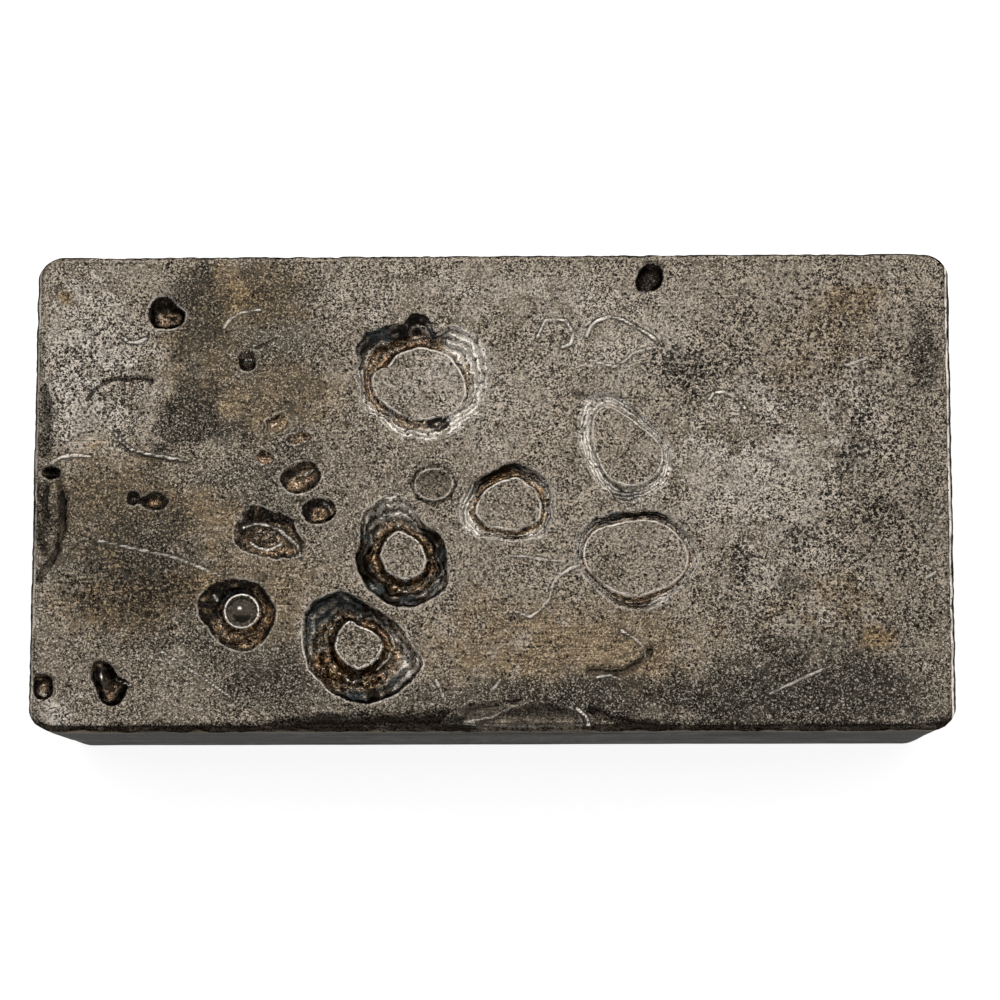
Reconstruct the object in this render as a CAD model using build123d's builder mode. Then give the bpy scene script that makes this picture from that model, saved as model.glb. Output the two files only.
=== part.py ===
"""A hand-poured metal ingot, cast in an open mould, lying on its narrow base.

Millimetres, +Z up. The base lies on z = 0 and its middle is the origin. +X runs along the
bar and -Y is the long side that faces the viewer. The wide face is the open top of the
pour: gas broke through it as it set and left rings, pits and grooves.
"""

import os
from math import cos, radians, sin

from build123d import *

# The bar
length = 137.0  # top face, along X
width = 72.5  # top face, along Y
height = 32.0
draft_angle = 4.7  # degrees, walls lean in toward the base
corner_radius = 4.0  # upright corners, measured at the top face
top_edge_radius = 1.1
base_edge_radius = 2.0
full_turn = 360.0

# Wall shapes of the hollows, as pairs of (share of the way out, share of the depth).
# The first pair of each stands clear above the face so that the cut breaks through it.
moat_wall_shares = ((1.10, -0.30), (0.88, 0.38), (0.72, 0.76), (0.52, 1.00))
island_wall_shares = ((-0.04, -0.45), (0.10, 0.55), (0.34, 1.15))
pit_wall_shares = ((1.08, -0.30), (0.80, 0.60), (0.52, 1.00))

# Burst blisters: an island of the old face, level with it, inside a ring-shaped moat.
# The shares run round each island from +X toward +Y in equal steps.
great_place_shares = (-0.078, 0.224)
great_island_radius = 6.1
great_island_shares = (1.15, 1.06, 0.98, 0.95, 0.96, 0.89, 1.20, 1.00, 0.86, 0.86, 0.92, 1.18)
great_moat_width = 3.5
great_moat_shares = (0.79, 1.37, 1.05, 1.22, 1.37, 1.58, 0.66, 0.88, 0.84, 0.82, 0.77, 0.56)
great_depth = 1.6

egg_place_shares = (0.020, -0.029)
egg_island_radius = 4.3
egg_island_shares = (1.11, 1.05, 0.96, 0.92, 0.88, 0.95, 1.14, 1.14, 0.98, 0.89, 0.92, 1.07)
egg_moat_width = 2.15
egg_moat_shares = (0.77, 0.91, 1.20, 1.15, 0.95, 1.22, 1.10, 1.36, 0.76, 0.75, 0.89, 0.90)
egg_depth = 1.2

middle_place_shares = (-0.095, -0.134)
middle_island_radius = 3.3
middle_island_shares = (1.05, 0.91, 0.87, 1.00, 1.09, 1.01, 1.00, 0.98, 1.00, 1.04, 1.05, 1.05)
middle_moat_width = 4.0
middle_moat_shares = (0.90, 0.78, 0.79, 1.18, 1.32, 1.13, 0.86, 0.92, 1.04, 1.05, 1.02, 1.00)
middle_depth = 2.0

front_place_shares = (-0.145, -0.320)
front_island_radius = 3.2
front_island_shares = (1.04, 0.91, 0.93, 0.99, 1.11, 1.04, 1.05, 1.00, 0.99, 0.96, 0.97, 1.03)
front_moat_width = 5.05
front_moat_shares = (0.88, 0.84, 0.68, 0.84, 1.03, 1.14, 0.96, 0.95, 1.04, 1.13, 1.21, 1.28)
front_depth = 2.4

tear_place_shares = (0.1465, 0.086)
tear_island_radius = 5.35
tear_island_shares = (1.00, 0.82, 0.79, 0.97, 1.38, 1.10, 0.88, 0.85, 0.96, 1.04, 1.10, 1.11)
tear_moat_width = 1.75
tear_moat_shares = (0.62, 0.66, 0.82, 1.18, 1.28, 1.20, 0.97, 0.95, 1.01, 1.30, 1.05, 0.90)
tear_depth = 0.6

broad_place_shares = (0.1565, -0.1465)
broad_island_radius = 6.6
broad_island_shares = (1.18, 1.10, 1.01, 0.93, 0.96, 1.18, 1.17, 0.95, 0.86, 0.83, 0.84, 1.01)
broad_moat_width = 1.45
broad_moat_shares = (0.84, 0.90, 0.99, 0.97, 1.12, 1.06, 0.80, 0.78, 1.09, 1.33, 1.38, 0.72)
broad_depth = 0.8

# Pits: closed hollows with a small floor. Their shares run round the same way.
well_place_shares = (-0.270, -0.250)
well_radius = 5.5
well_shares = (0.93, 0.83, 0.85, 0.86, 0.96, 1.16, 1.18, 1.00, 1.06, 1.12, 1.09, 0.96)
well_depth = 2.0

shell_place_shares = (-0.241, -0.087)
shell_radius = 4.5
shell_shares = (0.95, 0.86, 0.75, 0.74, 1.08, 1.12, 1.22, 1.09, 0.87, 0.87, 0.98, 1.36)
shell_depth = 1.3

oval_place_shares = (-0.208, 0.026)
oval_radius = 2.65
oval_shares = (1.14, 1.14, 0.94, 0.88, 1.13, 1.02, 0.88, 0.92)
oval_depth = 1.1

dimple_place_shares = (-0.187, -0.043)
dimple_radius = 2.3
dimple_shares = (1.14, 1.01, 0.89, 1.01, 1.17, 1.01, 0.86, 0.94)
dimple_depth = 1.1

saucer_place_shares = (-0.063, 0.012)
saucer_radius = 2.85
saucer_shares = (1.10, 0.98, 0.89, 0.98, 1.10, 0.98, 0.89, 0.98)
saucer_depth = 0.4

corner_pit_place_shares = (-0.356, 0.373)
corner_pit_radius = 2.6
corner_pit_shares = (1.08, 0.78, 1.10, 1.12, 1.07, 1.02, 0.85, 1.02)
corner_pit_depth = 1.8

speck_place_shares = (-0.267, 0.274)
speck_radius = 1.5
speck_shares = (0.89, 1.06, 1.10, 0.89, 1.06, 1.10)
speck_depth = 0.9

back_pit_place_shares = (0.173, 0.448)
back_pit_radius = 2.2
back_pit_shares = (0.95, 1.09, 1.02, 0.86, 0.90, 1.16, 1.04, 0.95)
back_pit_depth = 1.5

twin_left_place_shares = (-0.389, -0.016)
twin_left_radius = 1.1
twin_left_shares = (1.00, 0.94, 1.06, 0.98, 1.06, 0.93)
twin_left_depth = 0.7

twin_right_place_shares = (-0.367, -0.024)
twin_right_radius = 1.65
twin_right_shares = (1.28, 0.98, 0.78, 0.96, 1.26, 0.96, 0.76, 1.00)
twin_right_depth = 0.9

fork_place_shares = (-0.414, -0.400)
fork_radius = 2.8
fork_shares = (1.14, 0.74, 0.76, 1.14, 1.38, 1.08, 0.72, 0.70, 0.88, 1.20, 1.26, 1.10)
fork_depth = 1.7

end_pit_place_shares = (-0.484, -0.406)
end_pit_radius = 1.8
end_pit_shares = (0.82, 1.06, 1.12, 0.82, 1.08, 1.10)
end_pit_depth = 1.3

pocket_place_shares = (-0.479, 0.040)
pocket_radius = 1.2
pocket_shares = (1.20, 0.94, 0.90, 1.22, 0.92, 0.90)
pocket_depth = 1.2

# The spall on the front edge: a flake lost from the face, open through the edge
spall_place_shares = (0.025, -0.488)
spall_radius = 5.6
spall_shares = (1.86, 0.80, 0.50, 0.88, 1.90, 0.86, 0.54, 0.80)
spall_depth = 0.6

# The bead that stayed standing in the well: a narrow rim with a low dome inside it
bead_radius = 2.65
bead_rim_width = 0.35
bead_rim_drop = 0.35  # below the face
bead_bowl_depth = 0.45  # from the rim down to the foot of the dome
bead_dome_height = 0.45

# Grooves, each along an arc through three places on the face and, where there is a fourth
# place, along a second arc that runs on smoothly to it.
wedge_overrun_share = 0.5  # how far the cutting wedge stands above the face, of the depth
crack_shares = ((-0.473, 0.034), (-0.4645, -0.056), (-0.489, -0.183))
crack_half_width = 0.55
crack_depth = 0.8
end_dent_shares = ((-0.4885, 0.195), (-0.4865, 0.126), (-0.4885, 0.062))
end_dent_half_width = 0.9
end_dent_depth = 0.7
crescent_shares = ((0.104, -0.374), (0.140, -0.384), (0.1705, -0.345), (0.142, -0.293))
crescent_half_width = 0.8
crescent_depth = 0.45


def place(shares, drop=0):
    """The plane level with the top face, or lower by drop, at a place on the face."""
    along, across = shares
    return Plane(origin=(length * along, width * across, height - drop))


def around(radii):
    """Points in equal steps round a centre, one for each radius."""
    step = radians(full_turn / len(radii))
    return [(r * cos(turn * step), r * sin(turn * step)) for turn, r in enumerate(radii)]


def closed_outline(plane, radii):
    """A smooth closed face through the points round a centre."""
    with BuildSketch(plane) as outline:
        with BuildLine():
            Spline(*around(radii), periodic=True)
        make_face()
    return outline.sketch


def blister(place_shares, island_radius, island_shares, moat_width, moat_shares, depth):
    """The moat of a burst blister: a bowl with the island left standing inside it."""

    def ring(way_out, deep):
        shares = zip(island_shares, moat_shares)
        radii = [island_radius * island + moat_width * moat * way_out for island, moat in shares]
        return closed_outline(place(place_shares, depth * deep), radii)

    with BuildPart() as hollow:
        add([ring(way_out, deep) for way_out, deep in moat_wall_shares])
        loft(ruled=True)
        add([ring(way_out, deep) for way_out, deep in island_wall_shares])
        loft(ruled=True, mode=Mode.SUBTRACT)
    return hollow.part


def pit(place_shares, radius, mouth_shares, depth):
    """A closed hollow, narrowing to a small floor."""
    with BuildPart() as hollow:
        for way_out, deep in pit_wall_shares:
            radii = [radius * share * way_out for share in mouth_shares]
            add(closed_outline(place(place_shares, depth * deep), radii))
        loft(ruled=True)
    return hollow.part


def groove(line_shares, half_width, depth):
    """A wedge that follows arcs over the face, with its sharp edge down, as deep as the groove."""
    start, middle, end, *further = [(length * along, width * across) for along, across in line_shares]
    clear_share = 1 + wedge_overrun_share
    with BuildPart() as wedge:
        with BuildLine(Plane.XY.offset(height)) as path:
            arc = ThreePointArc(start, middle, end)
            for point in further:
                arc = TangentArc(arc @ 1, point, tangent=arc % 1)
        with BuildSketch(Plane(origin=path.line @ 0, x_dir=(0, 0, 1), z_dir=path.line % 0)):
            Polygon(
                (-depth, 0),
                (depth * wedge_overrun_share, half_width * clear_share),
                (depth * wedge_overrun_share, -half_width * clear_share),
                align=None,
            )
        sweep()
    return wedge.part


blisters = (
    blister(
        great_place_shares,
        great_island_radius,
        great_island_shares,
        great_moat_width,
        great_moat_shares,
        great_depth,
    ),
    blister(
        egg_place_shares,
        egg_island_radius,
        egg_island_shares,
        egg_moat_width,
        egg_moat_shares,
        egg_depth,
    ),
    blister(
        middle_place_shares,
        middle_island_radius,
        middle_island_shares,
        middle_moat_width,
        middle_moat_shares,
        middle_depth,
    ),
    blister(
        front_place_shares,
        front_island_radius,
        front_island_shares,
        front_moat_width,
        front_moat_shares,
        front_depth,
    ),
    blister(
        tear_place_shares,
        tear_island_radius,
        tear_island_shares,
        tear_moat_width,
        tear_moat_shares,
        tear_depth,
    ),
    blister(
        broad_place_shares,
        broad_island_radius,
        broad_island_shares,
        broad_moat_width,
        broad_moat_shares,
        broad_depth,
    ),
)

pits = (
    pit(well_place_shares, well_radius, well_shares, well_depth),
    pit(shell_place_shares, shell_radius, shell_shares, shell_depth),
    pit(oval_place_shares, oval_radius, oval_shares, oval_depth),
    pit(dimple_place_shares, dimple_radius, dimple_shares, dimple_depth),
    pit(saucer_place_shares, saucer_radius, saucer_shares, saucer_depth),
    pit(corner_pit_place_shares, corner_pit_radius, corner_pit_shares, corner_pit_depth),
    pit(speck_place_shares, speck_radius, speck_shares, speck_depth),
    pit(back_pit_place_shares, back_pit_radius, back_pit_shares, back_pit_depth),
    pit(twin_left_place_shares, twin_left_radius, twin_left_shares, twin_left_depth),
    pit(twin_right_place_shares, twin_right_radius, twin_right_shares, twin_right_depth),
    pit(fork_place_shares, fork_radius, fork_shares, fork_depth),
    pit(end_pit_place_shares, end_pit_radius, end_pit_shares, end_pit_depth),
    pit(pocket_place_shares, pocket_radius, pocket_shares, pocket_depth),
    pit(spall_place_shares, spall_radius, spall_shares, spall_depth),
)

grooves = (
    groove(crack_shares, crack_half_width, crack_depth),
    groove(end_dent_shares, end_dent_half_width, end_dent_depth),
    groove(crescent_shares, crescent_half_width, crescent_depth),
)

well_top = place(well_place_shares).origin
rim_inside = bead_radius - bead_rim_width
bowl_level = -bead_rim_drop - bead_bowl_depth
dome_level = bowl_level + bead_dome_height
stem_level = bowl_level - well_depth
dome_radius = (rim_inside**2 + bead_dome_height**2) / (2 * bead_dome_height)

with BuildPart() as bead:
    with BuildSketch(Plane(origin=well_top, x_dir=(1, 0, 0), z_dir=(0, -1, 0))):
        with BuildLine():
            Polyline(
                (0, dome_level),
                (0, stem_level),
                (bead_radius, stem_level),
                (bead_radius, -bead_rim_drop),
                (rim_inside, -bead_rim_drop),
                (rim_inside, bowl_level),
            )
            RadiusArc((rim_inside, bowl_level), (0, dome_level), -dome_radius)
        make_face()
    revolve(axis=Axis(well_top, (0, 0, 1)))

with BuildPart() as ingot:
    Box(length, width, height, align=(Align.CENTER, Align.CENTER, Align.MIN))
    walls = ingot.faces().sort_by(Axis.Z)[1:-1]
    draft(walls, neutral_plane=Plane.XY.offset(height), angle=-draft_angle)
    fillet(ingot.edges().group_by(Axis.Z)[1], corner_radius)
    fillet(ingot.faces().sort_by(Axis.Z)[-1].edges(), top_edge_radius)
    fillet(ingot.faces().sort_by(Axis.Z)[0].edges(), base_edge_radius)
    for hollow in blisters + pits + grooves:
        add(hollow, mode=Mode.SUBTRACT)
    add(bead.part)

ingot.part.label = "ingot"
os.makedirs("parts", exist_ok=True)
export_step(ingot.part, "parts/ingot.step")
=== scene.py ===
"""A hand-poured metal ingot, old and tarnished, with gas-burst hollows in its open face.

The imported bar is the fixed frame. One casting stands for it here, with the fine relief of the
pour, its worn edges and its tarnish. Lengths in the tables are millimetres on the open face,
measured from its middle: first along the bar, then across it toward the back.
"""

from collections import namedtuple
from math import radians, sin, tan

import bpy
import numpy as np
from bpy.props import FloatProperty, FloatVectorProperty, PointerProperty
from mathutils import Matrix, Vector


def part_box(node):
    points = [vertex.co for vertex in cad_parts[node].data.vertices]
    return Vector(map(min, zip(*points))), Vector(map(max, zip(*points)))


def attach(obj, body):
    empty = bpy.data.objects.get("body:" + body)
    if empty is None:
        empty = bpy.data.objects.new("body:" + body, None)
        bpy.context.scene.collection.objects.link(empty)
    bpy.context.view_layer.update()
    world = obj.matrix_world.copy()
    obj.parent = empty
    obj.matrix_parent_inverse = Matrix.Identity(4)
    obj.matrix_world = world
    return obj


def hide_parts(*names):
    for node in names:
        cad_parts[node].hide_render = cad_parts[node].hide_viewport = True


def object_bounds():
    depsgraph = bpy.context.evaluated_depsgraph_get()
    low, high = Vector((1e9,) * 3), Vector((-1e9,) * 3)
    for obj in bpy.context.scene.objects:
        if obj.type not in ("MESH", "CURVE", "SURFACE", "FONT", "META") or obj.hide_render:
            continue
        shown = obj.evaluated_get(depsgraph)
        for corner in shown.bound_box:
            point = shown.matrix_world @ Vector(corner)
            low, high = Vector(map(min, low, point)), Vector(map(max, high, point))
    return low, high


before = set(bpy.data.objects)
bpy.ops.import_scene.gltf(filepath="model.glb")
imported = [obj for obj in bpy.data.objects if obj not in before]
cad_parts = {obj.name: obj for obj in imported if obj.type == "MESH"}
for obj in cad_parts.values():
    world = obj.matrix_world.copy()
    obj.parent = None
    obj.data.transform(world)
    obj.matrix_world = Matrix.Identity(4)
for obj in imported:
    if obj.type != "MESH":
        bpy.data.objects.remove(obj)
cad_low, cad_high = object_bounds()

bl_info = {
    "name": "Poured Metal Ingot",
    "version": (1, 0, 0),
    "blender": (4, 5, 0),
    "location": "3D View > Sidebar > Ingot",
    "description": "Dresses the packed ingot as old tarnished cast metal on a pale floor",
    "category": "Object",
}

MM = 0.001

# Burst blisters: an island of the old face inside a ring-shaped moat. Island and mouth are radii
# in equal steps round from +X toward the back. Deep, dark and black are shares in eight steps round:
# how deep the moat is there, how far out from the island its toning reaches, and how black the slope
# beyond it is, a black that is partly char and partly painted shade. Sheer is the share of the outer
# wall that drops straight from the mouth.
Blister = namedtuple("Blister", "place island mouth depth deep dark black tone lip flow ragged sheer")
BLISTERS = {
    "great": Blister(
        place=(-10.7, 16.1),
        island=(6.9, 6.5, 6.1, 6.1, 5.8, 5.7, 5.8, 5.6, 5.7, 5.7, 5.6, 7.1, 7.2, 6.8, 6.0, 5.6, 5.4, 5.5, 5.4, 5.5, 5.7, 6.4, 6.9, 7.0),
        mouth=(9.9, 10.5, 11.1, 10.6, 10.5, 8.4, 11.4, 9.9, 10.6, 11.1, 10.8, 9.6, 9.5, 9.3, 8.6, 8.2, 8.0, 8.4, 8.3, 8.7, 8.9, 9.2, 9.6, 9.9),
        depth=1.6,
        deep=(0.50, 0.60, 1.05, 1.15, 0.65, 0.60, 0.50, 0.18),
        dark=(0.22, 0.38, 0.48, 0.48, 0.50, 0.48, 0.40, 0.04),
        black=(0.05, 0.05, 0.95, 0.90, 0.15, 0.0, 0.0, 0.0),
        tone=0.95, lip=0.9, flow=0.16, ragged=0.06, sheer=0.15,
    ),
    "egg": Blister(
        place=(2.7, -2.2),
        island=(4.7, 4.4, 4.5, 4.1, 4.1, 4.3, 3.9, 3.8, 3.8, 3.9, 4.2, 4.5, 4.9, 5.2, 4.9, 4.8, 4.1, 3.9, 3.9, 4.2, 4.1, 4.4, 5.0, 4.8),
        mouth=(6.5, 6.7, 6.6, 6.4, 6.3, 6.3, 6.3, 5.8, 5.7, 5.9, 6.5, 6.7, 7.2, 7.5, 7.5, 6.8, 5.7, 5.4, 5.4, 5.7, 5.9, 6.8, 6.6, 6.7),
        depth=1.2,
        deep=(0.75, 0.90, 1.20, 1.10, 0.65, 0.55, 0.70, 0.65),
        dark=(0.38, 0.42, 0.55, 0.50, 0.35, 0.30, 0.40, 0.40),
        black=(0.10, 0.50, 1.0, 0.80, 0.10, 0.05, 0.25, 0.15),
        tone=0.75, lip=1.0, flow=0.10, ragged=0.02, sheer=0.60,
    ),
    "middle": Blister(
        place=(-13.0, -9.8),
        island=(3.2, 3.0, 3.0, 3.0, 3.0, 3.1, 3.4, 3.7, 3.6, 3.5, 3.4, 3.4, 3.5, 3.3, 3.3, 3.5, 3.4, 3.5, 3.7, 3.7, 3.7, 3.8, 3.6, 3.5),
        mouth=(6.5, 6.3, 6.2, 5.7, 5.7, 6.6, 8.6, 9.1, 8.9, 8.6, 7.5, 6.8, 7.2, 7.2, 7.1, 7.4, 7.4, 7.7, 8.0, 7.9, 7.8, 8.0, 7.8, 6.6),
        depth=2.0,
        deep=(1.00, 0.90, 0.90, 1.00, 1.10, 1.10, 1.10, 1.00),
        dark=(0.42, 0.45, 0.35, 0.40, 0.42, 0.45, 0.45, 0.42),
        black=(0.80, 0.75, 0.05, 0.50, 0.90, 0.90, 0.80, 0.60),
        tone=1.0, lip=0.8, flow=0.12, ragged=0.03, sheer=0.65,
    ),
    "front": Blister(
        place=(-19.8, -23.2),
        island=(3.7, 3.5, 3.1, 2.9, 2.7, 2.7, 2.9, 3.6, 3.6, 3.4, 3.3, 3.2, 3.3, 3.3, 3.2, 3.2, 3.3, 3.4, 3.7, 3.6, 3.6, 3.6, 3.6, 3.7),
        mouth=(7.8, 7.2, 6.5, 6.1, 6.0, 6.2, 7.0, 8.3, 8.7, 9.1, 9.1, 8.4, 8.0, 7.8, 8.0, 7.7, 8.0, 8.3, 8.8, 9.1, 9.1, 9.6, 9.8, 10.0),
        depth=2.4,
        deep=(0.90, 0.90, 0.90, 1.00, 1.00, 1.10, 1.10, 0.90),
        dark=(0.45, 0.45, 0.45, 0.45, 0.70, 0.88, 0.62, 0.50),
        black=(0.10, 0.65, 0.85, 0.75, 0.45, 0.40, 0.95, 0.65),
        tone=1.0, lip=1.0, flow=0.10, ragged=0.02, sheer=0.80,
    ),
    "tear": Blister(
        place=(20.0, 6.1),
        island=(5.4, 4.4, 4.2, 5.2, 7.4, 5.9, 4.7, 4.5, 5.1, 5.6, 5.9, 5.9),
        mouth=(6.5, 5.6, 5.6, 7.3, 9.6, 8.0, 6.4, 6.2, 6.9, 7.9, 7.7, 7.5),
        depth=0.45,
        deep=(0.80, 1.00, 1.00, 0.80, 0.90, 0.80, 0.90, 0.80),
        dark=(0.10, 0.10, 0.20, 0.15, 0.15, 0.15, 0.20, 0.10),
        black=(0.0, 0.05, 0.10, 0.05, 0.0, 0.0, 0.60, 0.0),
        tone=0.25, lip=0.8, flow=0.03, ragged=0.02, sheer=0.40,
    ),
    "broad": Blister(
        place=(21.4, -10.7),
        island=(7.8, 7.3, 6.7, 6.1, 6.3, 7.8, 7.7, 6.3, 5.7, 5.5, 5.5, 6.7),
        mouth=(9.0, 8.6, 8.1, 7.5, 7.9, 9.3, 8.9, 7.4, 7.3, 7.4, 7.5, 7.7),
        depth=0.8,
        deep=(0.70, 0.90, 1.20, 0.90, 0.70, 1.00, 1.20, 0.80),
        dark=(0.40, 0.30, 0.30, 0.30, 0.35, 0.35, 0.40, 0.40),
        black=(0.10, 0.40, 1.0, 0.55, 0.05, 0.15, 0.65, 0.10),
        tone=0.50, lip=0.8, flow=0.03, ragged=0.03, sheer=0.50,
    ),
}

# How deep a moat is on the way out from its island, as pairs of shares
MOAT_WAY = (0.0, 0.05, 0.13, 0.24, 0.38, 0.55, 0.75, 0.90, 1.0)
MOAT_DEEP = (0.0, 0.28, 0.85, 1.00, 0.78, 0.42, 0.22, 0.08, 0.0)
SHEER_DEEP = (0.0, 0.20, 0.72, 1.00, 1.00, 0.88, 0.72, 0.56, 0.0)

# Pits: closed hollows. Steep is the power of the wall: a high one has a flat floor and a sheer wall.
# Dusk is how black the floor is.
Pit = namedtuple("Pit", "place radius shares depth steep lip ragged gloss tone dusk", defaults=(0.58,))
PITS = {
    "well": Pit((-37.0, -18.1), 5.5, (0.93, 0.83, 0.85, 0.86, 0.96, 1.16, 1.18, 1.00, 1.06, 1.12, 1.09, 0.96), 2.0, 3.0, 0.3, 0.05, 0.3, 1.0, 0.25),
    "shell": Pit((-33.0, -6.3), 4.5, (0.95, 0.86, 0.75, 0.74, 1.08, 1.12, 1.22, 1.09, 0.87, 0.87, 0.98, 1.36), 1.3, 2.6, 0.3, 0.10, 0.0, 0.8),
    "oval": Pit((-28.5, 1.9), 2.65, (1.14, 1.14, 0.94, 0.88, 1.13, 1.02, 0.88, 0.92), 1.1, 3.0, 0.4, 0.03, 0.5, 0.6),
    "dimple": Pit((-25.6, -3.1), 2.3, (1.14, 1.01, 0.89, 1.01, 1.17, 1.01, 0.86, 0.94), 1.1, 3.0, 0.2, 0.06, 0.4, 0.8),
    "saucer": Pit((-8.6, 0.9), 2.45, (1.10, 0.98, 0.89, 0.98, 1.10, 0.98, 0.89, 0.98), 0.40, 7.0, 0.5, 0.03, 0.0, 0.0),
    "corner": Pit((-48.8, 27.0), 2.6, (1.08, 0.78, 1.10, 1.12, 1.07, 1.02, 0.85, 1.02), 1.8, 5.0, 0.7, 0.05, 0.6, 1.0),
    "speck": Pit((-36.6, 19.9), 1.5, (0.89, 1.06, 1.10, 0.89, 1.06, 1.10), 0.9, 3.0, 0.2, 0.06, 0.2, 0.9),
    "back": Pit((23.6, 32.4), 2.2, (0.95, 1.09, 1.02, 0.86, 0.90, 1.16, 1.04, 0.95), 1.5, 4.0, 0.2, 0.06, 0.4, 0.9),
    "twin_left": Pit((-53.3, -1.1), 1.1, (1.00, 0.94, 1.06, 0.98, 1.06, 0.93), 0.7, 3.0, 0.2, 0.12, 0.3, 1.0),
    "twin_right": Pit((-50.3, -1.6), 1.65, (1.28, 0.98, 0.78, 0.96, 1.26, 0.96, 0.76, 1.00), 0.9, 2.5, 0.3, 0.14, 0.3, 0.8),
    "fork": Pit((-56.6, -29.0), 2.8, (1.14, 0.74, 0.76, 1.14, 1.38, 1.08, 0.72, 0.70, 0.88, 1.20, 1.26, 1.10), 1.7, 3.0, 0.2, 0.03, 1.0, 1.0),
    "end": Pit((-66.2, -29.4), 1.8, (0.82, 1.06, 1.12, 0.82, 1.08, 1.10), 1.3, 3.0, 0.2, 0.05, 0.8, 1.0),
    "pocket": Pit((-65.6, 2.9), 1.2, (1.20, 0.94, 0.90, 1.22, 0.92, 0.90), 1.2, 3.0, 0.2, 0.12, 0.2, 1.0),
    "spall": Pit((3.4, -35.4), 5.6, (1.86, 0.80, 0.50, 0.88, 1.90, 0.86, 0.54, 0.80), 0.6, 2.0, 0.1, 0.10, 0.6, 0.0),
    "pock_upper": Pit((-31.9, 10.2), 1.6, (1.0, 1.1, 0.8, 1.2, 0.9, 0.9), 0.40, 2.0, 0.2, 0.25, 0.0, 0.45),
    "pock_middle": Pit((-29.0, 7.9), 1.2, (1.6, 1.0, 0.6, 1.4, 0.9, 0.6), 0.35, 2.0, 0.3, 0.25, 0.0, 0.45),
    "pock_lower": Pit((-33.8, 5.0), 1.3, (1.1, 0.8, 1.1, 1.0, 0.8, 1.0), 0.35, 2.0, 0.2, 0.25, 0.0, 0.45),
    "pock_small": Pit((-21.4, 9.9), 0.8, (1.1, 0.8, 1.1, 1.0, 0.8, 1.0), 0.30, 2.0, 0.1, 0.25, 0.0, 0.4),
    "pock_low": Pit((-8.0, 10.2), 0.7, (1.5, 0.8, 0.7, 1.4, 0.8, 0.7), 0.35, 2.0, 0.1, 0.2, 0.0, 0.8),
}

# The bead that stayed standing in the well: a narrow rim with a low dome inside it
BEAD_RADIUS = 2.65
BEAD_RIM = 0.40
BEAD_DROP = 0.35
BEAD_BOWL = 0.55
BEAD_DOME = 0.50

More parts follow.
